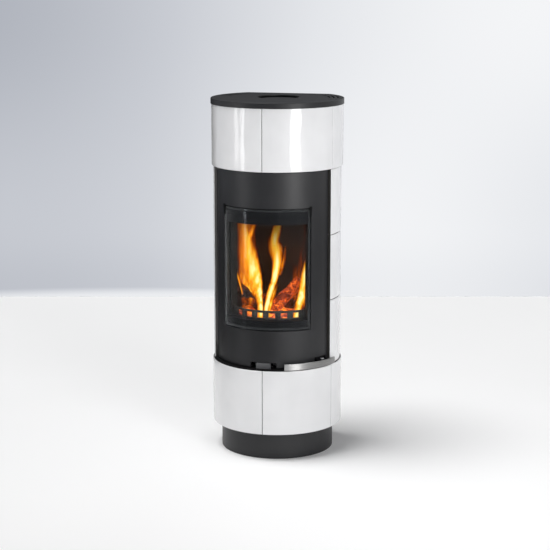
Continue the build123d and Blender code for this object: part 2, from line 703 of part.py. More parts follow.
with BuildPart() as panel_screws:
    with BuildSketch(Plane.XZ.offset(-rear_face - REAR_SHEET)):
        with Locations((0, (lower_z + top_z) / 2)):
            with GridLocations(
                2 * (rear_half_width - SCREW_INSET),
                (top_z - lower_z - 2 * SCREW_END_INSET) / (SCREW_ROWS - 1),
                2,
                SCREW_ROWS,
            ):
                Circle(SCREW_HEAD)
    extrude(amount=-SCREW_HEAD_HEIGHT)
finish(panel_screws, "panel_screws")

with BuildPart() as rear_heat_shield:
    with BuildSketch(Plane.XY.offset(floor_z)):
        with Locations((0, shield_face + SHIELD_SHEET / 2)):
            Rectangle(2 * SHIELD_HALF_WIDTH, SHIELD_SHEET)
    extrude(amount=shield_top - floor_z)
finish(rear_heat_shield, "rear_heat_shield")

# ---------------------------------------------------------------- door
hinge_x, hinge_y = plan_point(door_radius - HINGE_INSET, HINGE_SETBACK - door_arc)

door_cut_inner = door_radius - DOOR_FLANGE - OVERCUT

with BuildPart() as door_panel:
    with BuildSketch(Plane.XY.offset(door_low)):
        add(sector(door_radius - DOOR_FLANGE, door_radius, -door_arc, door_arc))
    extrude(amount=door_high - door_low)
    with BuildSketch(Plane.XY.offset(door_low + DOOR_SHEET)):
        add(sector(door_cut_inner, door_inner, -door_arc - OVERCUT, door_arc + OVERCUT))
    extrude(amount=door_high - door_low - 2 * DOOR_SHEET, mode=Mode.SUBTRACT)
    with BuildSketch(Plane.XY.offset(window_low)):
        add(sector(door_inner - OVERCUT, door_radius + OVERCUT, -WINDOW_ARC, WINDOW_ARC))
    extrude(amount=window_high - window_low, mode=Mode.SUBTRACT)
    with BuildSketch(Plane.XY.offset(door_low)):
        add(sector(door_cut_inner, door_radius + OVERCUT, -SLIDER_CUT_ARC, SLIDER_CUT_ARC))
    extrude(amount=SLIDER_CUT_HEIGHT, mode=Mode.SUBTRACT)
    with BuildSketch(Plane.XY.offset(door_low)):
        add(sector(door_inner - OVERCUT, door_radius + OVERCUT, latch_cut_start, latch_cut_end))
    extrude(amount=LATCH_CUT_HEIGHT, mode=Mode.SUBTRACT)
    with BuildSketch(Plane.XY.offset(door_low)):
        add(sector(door_cut_inner, door_inner, latch_cut_start, door_arc + OVERCUT))
        add(sector(door_cut_inner, door_inner, SLIDER_CUT_ARC - OVERCUT, SLIDER_FLANGE_CUT))
    extrude(amount=DOOR_SHEET, mode=Mode.SUBTRACT)
    with BuildSketch(Plane.XY.offset(door_low)):
        with Locations((hinge_x, hinge_y)):
            Circle(HINGE_PIN + HINGE_CLEARANCE)
    extrude(amount=door_high - door_low, mode=Mode.SUBTRACT)
finish(door_panel, "door_panel")

with BuildPart() as door_frame:
    with BuildSketch(Plane.XY.offset(frame_low)):
        add(sector(seal_outer, frame_outer, -frame_arc, frame_arc))
    extrude(amount=frame_high - frame_low)
    with BuildSketch(Plane.XY.offset(frame_low + FRAME_SHEET)):
        inner_arc = frame_arc - arc_angle(FRAME_SHEET, seal_outer)
        add(sector(seal_outer - OVERCUT, frame_inner, -inner_arc, inner_arc))
    extrude(amount=frame_high - frame_low - 2 * FRAME_SHEET, mode=Mode.SUBTRACT)
    with BuildSketch(Plane.XY.offset(view_low - FRAME_SHEET)):
        add(sector(seal_outer, frame_inner + OVERCUT, -frame_arc, frame_arc))
        with Locations((0, -door_radius)):
            Rectangle(2 * (frame_view_half + FRAME_SHEET), 2 * door_radius, mode=Mode.INTERSECT)
    extrude(amount=view_high - view_low + 2 * FRAME_SHEET)
    with BuildSketch(Plane.XZ):
        with Locations((0, (view_low + view_high) / 2)):
            Rectangle(2 * frame_view_half, view_high - view_low)
    extrude(amount=TILE_RADIUS, mode=Mode.SUBTRACT)
finish(door_frame, "door_frame")

with BuildPart() as door_seal:
    with BuildSketch(Plane.XY.offset(frame_low)):
        add(sector(seal_inner, seal_outer, -frame_arc, frame_arc))
    extrude(amount=frame_high - frame_low)
    with BuildSketch(Plane.XY.offset(frame_low + SEAL_WIDTH)):
        inner_arc = frame_arc - arc_angle(SEAL_WIDTH, seal_outer)
        add(sector(seal_inner - OVERCUT, seal_outer + OVERCUT, -inner_arc, inner_arc))
    extrude(amount=frame_high - frame_low - 2 * SEAL_WIDTH, mode=Mode.SUBTRACT)
finish(door_seal, "door_seal")

with BuildPart() as glass_pane:
    with BuildSketch(Plane.XY.offset(glass_low)):
        add(sector(glass_inner, glass_outer, -glass_arc, glass_arc))
    extrude(amount=glass_high - glass_low)
finish(glass_pane, "glass_pane")

with BuildPart() as glass_gasket:
    gasket_arc = glass_arc - arc_angle(GASKET_INSET, glass_inner)
    gasket_height = glass_high - glass_low - 2 * GASKET_INSET
    with BuildSketch(Plane.XY.offset(glass_low + GASKET_INSET)):
        add(sector(frame_outer, frame_outer + GASKET, -gasket_arc, gasket_arc))
    extrude(amount=gasket_height)
    inner_arc = gasket_arc - arc_angle(GASKET_WIDTH, frame_outer)
    with BuildSketch(Plane.XY.offset(glass_low + GASKET_INSET + GASKET_WIDTH)):
        add(sector(frame_outer - OVERCUT, frame_outer + GASKET + OVERCUT, -inner_arc, inner_arc))
    extrude(amount=gasket_height - 2 * GASKET_WIDTH, mode=Mode.SUBTRACT)
finish(glass_gasket, "glass_gasket")

with BuildPart() as glass_clips:
    for side in (-1, 1):
        clip_normal = (side * sin(radians(glass_arc)), -cos(radians(glass_arc)), 0)
        clip_plane = Plane(
            origin=(*plan_point(door_radius + CLIP_LIFT, side * glass_arc), window_high),
            x_dir=(cos(radians(glass_arc)), side * sin(radians(glass_arc)), 0),
            z_dir=clip_normal,
        )
        with BuildSketch(clip_plane):
            with BuildLine():
                Polyline(
                    (-CLIP_TOP_WIDTH / 2, CLIP_RISE),
                    (CLIP_TOP_WIDTH / 2, CLIP_RISE),
                    (CLIP_FOOT_WIDTH / 2, CLIP_RISE - CLIP_HEIGHT),
                    (-CLIP_FOOT_WIDTH / 2, CLIP_RISE - CLIP_HEIGHT),
                    close=True,
                )
            make_face()
            fillet(vertices(), radius=CLIP_ROUND)
        extrude(amount=CLIP_PLATE)
finish(glass_clips, "glass_clips")

# ---------------------------------------------------------------- door hinges
with BuildPart() as hinge_bushes:
    for low in (door_low + DOOR_SHEET, door_high - DOOR_SHEET - HINGE_BUSH):
        with BuildSketch(Plane.XY.offset(low)):
            with Locations((hinge_x, hinge_y)):
                Circle(HINGE_PIN + HINGE_CLEARANCE + HINGE_BUSH_WALL)
                Circle(HINGE_PIN + HINGE_CLEARANCE, mode=Mode.SUBTRACT)
        extrude(amount=HINGE_BUSH)
finish(hinge_bushes, "hinge_bushes")

with BuildPart() as hinge_pins:
    for level, reach in (
        (floor_z, DOOR_FLOOR_GAP + DOOR_SHEET + HINGE_BUSH - HINGE_PIN_SHORT),
        (ceiling_z, -(DOOR_HEAD_GAP + DOOR_SHEET + HINGE_BUSH - HINGE_PIN_SHORT)),
    ):
        with BuildSketch(Plane.XY.offset(level)):
            with Locations((hinge_x, hinge_y)):
                Circle(HINGE_PIN)
        extrude(amount=reach)
    with BuildSketch(Plane.XY.offset(floor_z)):
        with Locations((hinge_x, hinge_y)):
            Circle(HINGE_COLLAR)
    extrude(amount=DOOR_FLOOR_GAP - SEAT_GAP)
finish(hinge_pins, "hinge_pins")

# ---------------------------------------------------------------- handle and latch
pivot_x, pivot_y = plan_point(pivot_radius, pivot_angle)
barrel_low = bracket_low + BRACKET_EAR + SEAT_GAP
upper_ear_low = barrel_low + BARREL_HEIGHT + SEAT_GAP

with BuildPart() as handle_bar:
    with BuildSketch(Plane.XY.offset(handle_low)):
        add(sector(handle_radius, handle_radius + HANDLE_BAR, HANDLE_START, handle_end))
    extrude(amount=HANDLE_HEIGHT)
    fillet(handle_bar.edges().filter_by(GeomType.CIRCLE), radius=HANDLE_ROUND)
finish(handle_bar, "handle_bar")

with BuildPart() as handle_bracket:
    with BuildSketch(Plane.XY.offset(bracket_low)):
        add(sector(frame_outer + SEAT_GAP, door_inner - SEAT_GAP, bracket_start, bracket_end))
    extrude(amount=bracket_high - bracket_low)
    for low in (bracket_low, upper_ear_low):
        with BuildSketch(Plane.XY.offset(low)):
            add(sector(frame_outer + SEAT_GAP, ear_outer, bracket_start, bracket_end))
            with Locations((pivot_x, pivot_y)):
                Circle(PIVOT_PIN, mode=Mode.SUBTRACT)
        extrude(amount=BRACKET_EAR)
    slot_start = pivot_angle - BRACKET_SLOT_START
    with BuildSketch(Plane.XY.offset(barrel_low)):
        add(sector(frame_outer, door_inner, slot_start, bracket_end - BRACKET_SLOT_MARGIN))
    extrude(amount=BARREL_HEIGHT, mode=Mode.SUBTRACT)
finish(handle_bracket, "handle_bracket")

with BuildPart() as handle_pivot_pin:
    with BuildSketch(Plane.XY.offset(bracket_low)):
        with Locations((pivot_x, pivot_y)):
            Circle(PIVOT_PIN)
    extrude(amount=upper_ear_low + BRACKET_EAR - bracket_low)
    with BuildSketch(Plane.XY.offset(upper_ear_low + BRACKET_EAR)):
        with Locations((pivot_x, pivot_y)):
            Circle(BARREL_RADIUS)
    extrude(amount=PIN_HEAD)
    fillet(handle_pivot_pin.faces().sort_by(Axis.Z)[-1].edges(), radius=PIN_HEAD_ROUND)
finish(handle_pivot_pin, "handle_pivot_pin")

keeper_x, keeper_y = plan_point(door_radius - KEEPER_INSET, door_arc - KEEPER_SETBACK)
arm_x = keeper_x - LATCH_ARM / 2 - KEEPER_PIN - KEEPER_GAP - pivot_x
arm_y = keeper_y - pivot_y
latch_length = hypot(arm_x, arm_y)
arm_plane = Plane.XY.offset(barrel_low + (BARREL_HEIGHT - LATCH_ARM) / 2)
with BuildPart() as handle_lever:
    with BuildSketch(Plane.XY.offset(barrel_low)):
        with Locations((pivot_x, pivot_y)):
            Circle(BARREL_RADIUS)
        web_arc = arc_angle(LEVER_WEB, pivot_radius) / 2
        add(sector(pivot_radius, handle_radius, pivot_angle - web_arc, pivot_angle + web_arc))
    extrude(amount=BARREL_HEIGHT)
    with BuildSketch(arm_plane):
        with Locations((pivot_x + arm_x / 2, pivot_y + arm_y / 2)):
            SlotCenterToCenter(latch_length, LATCH_ARM, rotation=degrees(atan2(arm_y, arm_x)))
    extrude(amount=LATCH_ARM)
    with BuildSketch(Plane.XY.offset(barrel_low)):
        with Locations((pivot_x, pivot_y)):
            Circle(PIVOT_PIN + HINGE_CLEARANCE)
    extrude(amount=BARREL_HEIGHT, mode=Mode.SUBTRACT)
finish(handle_lever, "handle_lever")

with BuildPart() as latch_keeper:
    with BuildSketch(Plane.XY.offset(floor_z)):
        with Locations((keeper_x, keeper_y)):
            Circle(KEEPER_PIN)
    extrude(amount=barrel_low + BARREL_HEIGHT - floor_z)
    chamfer(latch_keeper.faces().sort_by(Axis.Z)[-1].edges(), length=KEEPER_CHAMFER)
finish(latch_keeper, "latch_keeper")

# ---------------------------------------------------------------- ash pan
with BuildPart() as ash_pan:
    pan_middle = -pan_front + PAN_DEPTH / 2
    with BuildSketch(Plane.XY.offset(pan_z)):
        with Locations((0, pan_middle)):
            Rectangle(PAN_WIDTH, PAN_DEPTH)
    extrude(amount=PAN_HEIGHT)
    with BuildSketch(Plane.XY.offset(pan_z + PAN_SHEET)):
        with Locations((0, pan_middle)):
            Rectangle(PAN_WIDTH - 2 * PAN_SHEET, PAN_DEPTH - 2 * PAN_SHEET)
    extrude(amount=PAN_HEIGHT, mode=Mode.SUBTRACT)
    with BuildLine(Plane.XY.offset(pan_z + PAN_HEIGHT / 2)):
        FilletPolyline(
            (-PAN_GRIP_WIDTH / 2, -pan_front + PAN_SHEET / 2),
            (-PAN_GRIP_WIDTH / 2, -pan_front - PAN_GRIP_REACH),
            (PAN_GRIP_WIDTH / 2, -pan_front - PAN_GRIP_REACH),
            (PAN_GRIP_WIDTH / 2, -pan_front + PAN_SHEET / 2),
            radius=PAN_GRIP_ROUND,
        )
    with BuildSketch(Plane.XZ.offset(pan_front - PAN_SHEET / 2)):
        with Locations((-PAN_GRIP_WIDTH / 2, pan_z + PAN_HEIGHT / 2)):
            Circle(PAN_GRIP_ROD)
    sweep()
finish(ash_pan, "ash_pan")

with BuildPart() as pan_runners:
    with BuildSketch(Plane.XZ.offset(pan_front - PAN_SHEET)):
        for side in (-1, 1):
            wall_x = side * (PAN_WIDTH / 2 - RUNNER_FOOT)
            with Locations((wall_x, floor_z + PAN_RUNNER / 2)):
                Rectangle(RUNNER_SHEET, PAN_RUNNER)
            for foot in (floor_z + RUNNER_SHEET / 2, pan_z - RUNNER_SHEET / 2):
                with Locations((wall_x + side * RUNNER_FOOT / 2, foot)):
                    Rectangle(RUNNER_FOOT, RUNNER_SHEET)
    extrude(amount=-(PAN_DEPTH - 2 * PAN_SHEET))
finish(pan_runners, "pan_runners")

# ---------------------------------------------------------------- air slider
slider_inner = shell_radius + SEAT_GAP
slider_outer = slider_inner + SLIDER_STRIP
with BuildPart() as air_slider:
    with BuildSketch(Plane.XY.offset(floor_z + SEAT_GAP)):
        add(sector(slider_inner, slider_outer, -SLIDER_ARC, SLIDER_ARC))
    extrude(amount=SLIDER_HEIGHT)
    with BuildSketch(Plane.XY.offset(floor_z + AIR_SLOT_LOW)):
        for index in range(AIR_SLOTS):
            middle = (index - (AIR_SLOTS - 1) / 2) * AIR_SLOT_PITCH
            low, high = middle - AIR_SLOT_ARC / 2, middle + AIR_SLOT_ARC / 2
            add(sector(slider_inner - OVERCUT, slider_outer + OVERCUT, low, high))
    extrude(amount=AIR_SLOT_HEIGHT, mode=Mode.SUBTRACT)
    with BuildSketch(Plane.XY.offset(floor_z + SEAT_GAP)):
        add(sector(slider_inner, door_radius, -SLIDER_ARM_ARC, SLIDER_ARM_ARC))
    extrude(amount=SLIDER_PLATE)
    with BuildSketch(Plane.XY.offset(floor_z + SEAT_GAP)):
        add(sector(door_radius - SLIDER_TAB, door_radius, -SLIDER_TAB_ARC, SLIDER_TAB_ARC))
    extrude(amount=SLIDER_TAB_HEIGHT)
finish(air_slider, "air_slider")

with BuildPart() as slider_guides:
    with BuildSketch(Plane.XY.offset(floor_z)):
        for start, end in ((-GUIDE_END, -GUIDE_START), (GUIDE_START, GUIDE_END)):
            add(sector(slider_outer + SEAT_GAP, slider_outer + SEAT_GAP + GUIDE_WALL, start, end))
    extrude(amount=GUIDE_HEIGHT)
finish(slider_guides, "slider_guides")
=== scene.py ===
import logging
import math
from collections.abc import Iterable, Mapping, Sequence
from dataclasses import dataclass
from enum import Enum
from functools import partial

import bpy
from mathutils import Matrix, Vector, noise


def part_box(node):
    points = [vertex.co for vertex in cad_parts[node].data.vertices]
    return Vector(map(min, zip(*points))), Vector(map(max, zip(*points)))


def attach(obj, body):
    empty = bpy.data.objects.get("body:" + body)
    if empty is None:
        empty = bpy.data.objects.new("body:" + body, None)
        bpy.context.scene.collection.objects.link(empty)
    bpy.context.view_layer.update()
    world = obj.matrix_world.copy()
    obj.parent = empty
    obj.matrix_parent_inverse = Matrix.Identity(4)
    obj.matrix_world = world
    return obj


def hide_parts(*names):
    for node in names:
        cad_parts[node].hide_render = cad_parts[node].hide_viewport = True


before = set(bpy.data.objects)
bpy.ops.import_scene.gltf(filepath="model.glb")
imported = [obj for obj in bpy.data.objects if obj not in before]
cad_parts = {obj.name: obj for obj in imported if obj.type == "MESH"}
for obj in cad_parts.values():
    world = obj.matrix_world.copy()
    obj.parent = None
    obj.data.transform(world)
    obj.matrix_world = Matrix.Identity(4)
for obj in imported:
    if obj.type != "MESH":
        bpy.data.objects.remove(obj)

LOG = logging.getLogger("tiled_stove")
MM = 0.001
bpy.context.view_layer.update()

Colour = tuple[float, float, float, float]
Place = tuple[float, float, float]
Pattern = tuple[float, float, float]
Span = tuple[float, float, float, float]
Faces = list[tuple[int, ...]]
Tree = bpy.types.NodeTree
Socket = bpy.types.NodeSocket


class Body(str, Enum):
    """Body of the stove that a piece moves with."""

    STOVE = "stove"
    DOOR = "door"


class Slot(str, Enum):
    """Material slot of the record, listed here; no piece in this script takes one."""

    ROPE_SEAL = "rope_seal"
    TURNED_STEEL = "turned_steel"


# ---------------------------------------------------------------- small helpers
def linear(colour: str) -> Colour:
    """Turn an sRGB hex colour to linear light.

    Args:
        colour: Six hex digits after a hash.

    Returns:
        Red, green, blue and an alpha of 1.
    """
    parts = [int(colour[at : at + 2], 16) / 255 for at in (1, 3, 5)]
    red, green, blue = (
        part / 12.92 if part <= 0.04045 else ((part + 0.055) / 1.055) ** 2.4 for part in parts
    )
    return (red, green, blue, 1.0)


def cells(size_mm: float) -> float:
    """Return the texture scale at which one cell of a pattern measures size_mm."""
    return 1 / (size_mm * MM)


def around(radius: float, angle: float, height: float) -> Vector:
    """Find a point round the stove's axis.

    Args:
        radius: Distance from the axis in millimetres.
        angle: Degrees from the front, positive to the right.
        height: Height in millimetres.

    Returns:
        The point in metres.
    """
    turn = math.radians(angle)
    return Vector((radius * math.sin(turn), -radius * math.cos(turn), height)) * MM


def add_node(
    tree: Tree, kind: str, settings: Mapping[str | int, object] | None = None
) -> bpy.types.Node:
    """Add a node with its settings and links.

    Args:
        tree: Node tree that takes the node.
        kind: Blender's name for the node.
        settings: Attributes by lower-case name, "stops" for a colour ramp's
            (position, hex colour) pairs, and inputs by name or number. An input
            is given a value, or another node's output socket to link.

    Returns:
        The new node.
    """
    node = tree.nodes.new(kind)
    for key, value in (settings or {}).items():
        if key == "stops":
            ramp = node.color_ramp.elements
            while len(ramp) < len(value):
                ramp.new(0.5)
            for element, (position, colour) in zip(ramp, value):
                element.position = position
                element.color = linear(colour)
        elif isinstance(key, str) and key[0].islower():
            setattr(node, key, value)
        elif isinstance(value, Socket):
            tree.links.new(value, node.inputs[key])
        else:
            node.inputs[key].default_value = value
    return node


def grid_faces(rows: int, columns: int, closed: bool) -> Faces:
    """Join rows of vertices with faces.

    Args:
        rows: Number of rows.
        columns: Vertices in a row.
        closed: Whether each row closes on itself.

    Returns:
        Quads as tuples of vertex numbers.
    """
    span = columns if closed else columns - 1
    return [
        (
            row * columns + column,
            row * columns + (column + 1) % columns,
            (row + 1) * columns + (column + 1) % columns,
            (row + 1) * columns + column,
        )
        for row in range(rows - 1)
        for column in range(span)
    ]


def spline(points: Sequence[Sequence[float]], share: float) -> list[float]:
    """Find a place on a smooth curve through control points.

    Args:
        points: Control points, each of as many numbers.
        share: Place along the curve from 0 to 1.

    Returns:
        The numbers of the point there.
    """
    last = len(points) - 1
    first = min(int(share * last), last - 1)
    part = share * last - first
    around_part = (max(first - 1, 0), first, first + 1, min(first + 2, last))
    return [
        0.5
        * (
            2 * b
            + (c - a) * part
            + (2 * a - 5 * b + 4 * c - d) * part**2
            + (3 * b - a - 3 * c + d) * part**3
        )
        for a, b, c, d in zip(*(points[number] for number in around_part))
    ]


# ---------------------------------------------------------------- parts of shaders
def outward(tree: Tree, at: Socket) -> Socket:
    """Find the level direction away from the stove's axis.

    Args:
        tree: Node tree of the material.
        at: Place on the object.

    Returns:
        The direction, of length 1.
    """
    flat = add_node(
        tree, "ShaderNodeVectorMath", {"operation": "MULTIPLY", 0: at, 1: (1.0, 1.0, 0.0)}
    ).outputs[0]
    return add_node(tree, "ShaderNodeVectorMath", {"operation": "NORMALIZE", 0: flat}).outputs[0]


def steepness(tree: Tree, way: Socket | Place) -> Socket:
    """Measure how far a face turns away from a direction.

    Args:
        tree: Node tree of the material.
        way: Direction of length 1.

    Returns:
        0 where the face looks along the direction, 1 where it is square to it.
    """
    normal = add_node(tree, "ShaderNodeTexCoord").outputs["Normal"]
    facing = add_node(
        tree, "ShaderNodeVectorMath", {"operation": "DOT_PRODUCT", 0: normal, 1: way}
    ).outputs["Value"]
    size = add_node(tree, "ShaderNodeMath", {"operation": "ABSOLUTE", 0: facing}).outputs[0]
    return add_node(tree, "ShaderNodeMath", {"operation": "SUBTRACT", 0: 1.0, 1: size}).outputs[0]


def looked_at(tree: Tree) -> Socket:
    """Tell what is seen from what only gives light.

    Args:
        tree: Node tree of the floor or the background.

    Returns:
        1 where it is seen directly, in gloss or through glass, otherwise 0.
    """
    path = add_node(tree, "ShaderNodeLightPath").outputs
    mirrored = add_node(
        tree,
        "ShaderNodeMath",
        {"operation": "MAXIMUM", 0: path["Is Glossy Ray"], 1: path["Is Transmission Ray"]},
    ).outputs[0]
    return add_node(
        tree, "ShaderNodeMath", {"operation": "MAXIMUM", 0: mirrored, 1: path["Is Camera Ray"]}
    ).outputs[0]


# ---------------------------------------------------------------- finishes
@dataclass(frozen=True)
class Finish:
    """A real material with its surface process, made into one Blender material."""

    name: str

    def surface(self, tree: Tree) -> Socket:
        """Build the shader.

        Args:
            tree: Node tree of the material.

        Returns:
            The shader's output socket.
        """
        raise NotImplementedError

    def material(self) -> bpy.types.Material:
        """Make the material the first time that it is asked for.

        Returns:
            The material.
        """
        made = bpy.data.materials.get(self.name)
        if made is None:
            made = bpy.data.materials.new(self.name)
            made.use_nodes = True
            made.node_tree.nodes.clear()
            shader = self.surface(made.node_tree)
            add_node(made.node_tree, "ShaderNodeOutputMaterial", {"Surface": shader})
        return made


@dataclass(frozen=True)
class GlazedStoneware(Finish):
    """White stoneware dipped in a clear gloss glaze and fired.

    The eye gets a bright body under a wet-looking coat, whose slow waves bend
    the reflections of windows and lamps into uneven bands.
    """

    body_pale: str = "#E9E9EA"
    body_warm: str = "#E2E2E3"
    joint_shade: str = "#3A3836"  # painted shade: the joint walls are darkened for the shade deep in the narrow joints
    shade_mm: float = 160.0
    wave_mm: float = 42.0
    wave_depth_mm: float = 1.6
    ripple_mm: float = 11.0
    ripple_depth_mm: float = 0.22
    draw: float = 0.45  # the glaze ran down, so its waves are longer upright

    def surface(self, tree: Tree) -> Socket:
        """Build the shader of a smooth body under a clear coat.

        Args:
            tree: Node tree of the material.

        Returns:
            The shader's output socket.
        """
        add = partial(add_node, tree)
        at = add("ShaderNodeTexCoord").outputs["Object"]
        shade = add("ShaderNodeTexNoise", {"Vector": at, "Scale": cells(self.shade_mm)}).outputs[0]
        glazed = add(
            "ShaderNodeValToRGB", {0: shade, "stops": ((0.35, self.body_warm), (0.65, self.body_pale))}
        ).outputs[0]
        away = steepness(tree, outward(tree, at))
        # painted shade: faces turned sideways, the joint walls, take the dark joint_shade colour
        edge = add("ShaderNodeMapRange", {0: away, 1: 0.6, 2: 0.9}).outputs[0]
        body = add(
            "ShaderNodeMix", {"data_type": "RGBA", "Factor": edge, 6: glazed, 7: linear(self.joint_shade)}
        ).outputs[2]
        drawn = add(
            "ShaderNodeVectorMath", {"operation": "MULTIPLY", 0: at, 1: (1.0, 1.0, self.draw)}
        ).outputs[0]
        slow = add(
            "ShaderNodeTexNoise", {"Vector": drawn, "Scale": cells(self.wave_mm), "Detail": 0.5}
        ).outputs[0]
        waves = add(
            "ShaderNodeBump", {"Height": slow, "Distance": self.wave_depth_mm * MM}
        ).outputs["Normal"]
        quick = add(
            "ShaderNodeTexNoise", {"Vector": drawn, "Scale": cells(self.ripple_mm), "Detail": 1.0}
        ).outputs[0]
        ripples = add(
            "ShaderNodeBump", {"Height": quick, "Distance": self.ripple_depth_mm * MM, "Normal": waves}
        ).outputs["Normal"]
        return add(
            "ShaderNodeBsdfPrincipled",
            {
                "Base Color": body,
                "Roughness": 0.35,
                "IOR": 1.5,
                "Coat Weight": 1.0,
                "Coat Roughness": 0.035,
                "Coat IOR": 1.5,
                "Normal": waves,
                "Coat Normal": ripples,
            },
        ).outputs[0]


@dataclass(frozen=True)
class SprayedStovePaint(Finish):
    """Mild steel sheet sprayed with heat-proof silicone paint.

    The eye gets a near-black satin skin with a very fine orange peel, so that
    lamps show as broad soft bands with no sharp edge.
    """

    colour: str = "#1F1F21"
    roughness: float = 0.43
    gloss: float = 0.46
    mottle_mm: float = 70.0
    grain_mm: float = 1.6  # sprayed grain is about 0.3 mm, too fine to show
    grain_depth_mm: float = 0.03

    def wear_and_shade(self, tree: Tree, at: Socket, tint: Socket, rough: Socket) -> tuple[Socket, Socket]:
        """Leave the paint as it is, which some parts change by wear and painted shade.

        Args:
            tree: Node tree of the material.
            at: Place on the object.
            tint: Colour of the new paint.
            rough: Roughness of the new paint.

        Returns:
            The colour and the roughness of the paint.
        """
        return tint, rough

    def surface(self, tree: Tree) -> Socket:
        """Build the shader of the painted sheet.

        Args:
            tree: Node tree of the material.

        Returns:
            The shader's output socket.
        """
        add = partial(add_node, tree)
        at = add("ShaderNodeTexCoord").outputs["Object"]
        mottle = add(
            "ShaderNodeTexNoise", {"Vector": at, "Scale": cells(self.mottle_mm), "Detail": 3.0}
        ).outputs[0]
        value = add("ShaderNodeMapRange", {0: mottle, 1: 0.3, 2: 0.7, 3: 0.92, 4: 1.08}).outputs[0]
        paint = add(
            "ShaderNodeHueSaturation", {"Value": value, "Color": linear(self.colour)}
        ).outputs[0]
        grain = add(
            "ShaderNodeTexNoise", {"Vector": at, "Scale": cells(self.grain_mm), "Detail": 1.0}
        ).outputs[0]
        satin = add(
            "ShaderNodeMapRange",
            {0: grain, 1: 0.3, 2: 0.7, 3: self.roughness - 0.04, 4: self.roughness + 0.05},
        ).outputs[0]
        tint, rough = self.wear_and_shade(tree, at, paint, satin)
        peel = add(
            "ShaderNodeBump", {"Height": grain, "Distance": self.grain_depth_mm * MM}
        ).outputs["Normal"]
        return add(
            "ShaderNodeBsdfPrincipled",
            {
                "Base Color": tint,
                "Roughness": rough,
                "IOR": 1.5,
                "Specular IOR Level": self.gloss,
                "Normal": peel,
            },
        ).outputs[0]


@dataclass(frozen=True)
class SlottedPlatePaint(SprayedStovePaint):
    """The same paint on the slotted top plate.

    The eye gets a dull dusty face. The upright walls of the slots and the
    recess are painted near black, a painted shade in these deep cuts.
    """

    cuts_within_mm: float = 243.0  # the slots lie nearer to the axis than the rim
    dust: float = 0.74  # roughness of a level face, dulled by dust
    # painted shade: the near-black colour of the walls of the cuts
    bare: str = "#040404"

    def wear_and_shade(self, tree: Tree, at: Socket, tint: Socket, rough: Socket) -> tuple[Socket, Socket]:
        """Paint shade near black on the walls of the cuts and dull the level faces.

        Args:
            tree: Node tree of the material.
            at: Place on the object.
            tint: Colour of the new paint.
            rough: Roughness of the new paint.

        Returns:
            The colour, with its painted shade, and the roughness of the paint.
        """
        add = partial(add_node, tree)
        flat = add(
            "ShaderNodeVectorMath", {"operation": "MULTIPLY", 0: at, 1: (1.0, 1.0, 0.0)}
        ).outputs[0]
        reach = add("ShaderNodeVectorMath", {"operation": "LENGTH", 0: flat}).outputs["Value"]
        limit = self.cuts_within_mm * MM
        inside = add(
            "ShaderNodeMapRange", {0: reach, 1: limit, 2: limit + MM, 3: 1.0, 4: 0.0}
        ).outputs[0]
        steep = steepness(tree, (0.0, 0.0, 1.0))
        upright = add("ShaderNodeMapRange", {0: steep, 1: 0.5, 2: 0.8}).outputs[0]
        # painted shade: upright faces inside the rim, the walls of the slots and the recess, turn near
        # black
        shaded_wall = add("ShaderNodeMath", {"operation": "MULTIPLY", 0: inside, 1: upright}).outputs[0]
        worn = add(
            "ShaderNodeMix", {"data_type": "RGBA", "Factor": shaded_wall, 6: tint, 7: linear(self.bare)}
        ).outputs[2]
        dusty = add("ShaderNodeMapRange", {0: steep, 1: 0.0, 2: 0.3, 3: self.dust, 4: 0.0}).outputs[0]
        dull = add("ShaderNodeMath", {"operation": "MAXIMUM", 0: rough, 1: dusty}).outputs[0]
        return worn, dull


@dataclass(frozen=True)
class BrushedStainless(Finish):
    """Stainless steel strip brushed along its length, bent round the stove.

    The eye gets a bright grey metal with fine lines that run along the strip
    and pull each reflection out across them.
    """

    colour: str = "#B4B3B2"
    line_colour: str = "#929190"
    line_mm: float = 0.9  # brushed lines are about 0.1 mm, too fine to show
    line_length_mm: float = 60.0
    line_depth_mm: float = 0.012
    bend: float = 0.25  # radius of the strip in metres

    def surface(self, tree: Tree) -> Socket:
        """Build the shader of the brushed metal.

        Args:
            tree: Node tree of the material.

        Returns:
            The shader's output socket.
        """
        add = partial(add_node, tree)
        at = add("ShaderNodeSeparateXYZ", {0: add("ShaderNodeTexCoord").outputs["Object"]}).outputs
        turn = add("ShaderNodeMath", {"operation": "ARCTAN2", 0: at[0], 1: at[1]}).outputs[0]
        squeeze = self.bend * self.line_mm / self.line_length_mm
        along = add("ShaderNodeMath", {"operation": "MULTIPLY", 0: turn, 1: squeeze}).outputs[0]
        strip = add("ShaderNodeCombineXYZ", {0: along, 1: along, 2: at[2]}).outputs[0]
        lines = add(
            "ShaderNodeTexNoise", {"Vector": strip, "Scale": cells(self.line_mm), "Detail": 3.0}
        ).outputs[0]
        metal = add(
            "ShaderNodeValToRGB", {0: lines, "stops": ((0.25, self.line_colour), (0.7, self.colour))}
        ).outputs[0]
        rough = add("ShaderNodeMapRange", {0: lines, 1: 0.3, 2: 0.7, 3: 0.36, 4: 0.44}).outputs[0]
        scratches = add(
            "ShaderNodeBump", {"Height": lines, "Distance": self.line_depth_mm * MM}
        ).outputs["Normal"]
        return add(
            "ShaderNodeBsdfPrincipled",
            {
                "Base Color": metal,
                "Metallic": 1.0,
                "Roughness": rough,
                "Anisotropic": 0.97,
                "Anisotropic Rotation": 0.25,
                "Normal": scratches,
            },
        ).outputs[0]


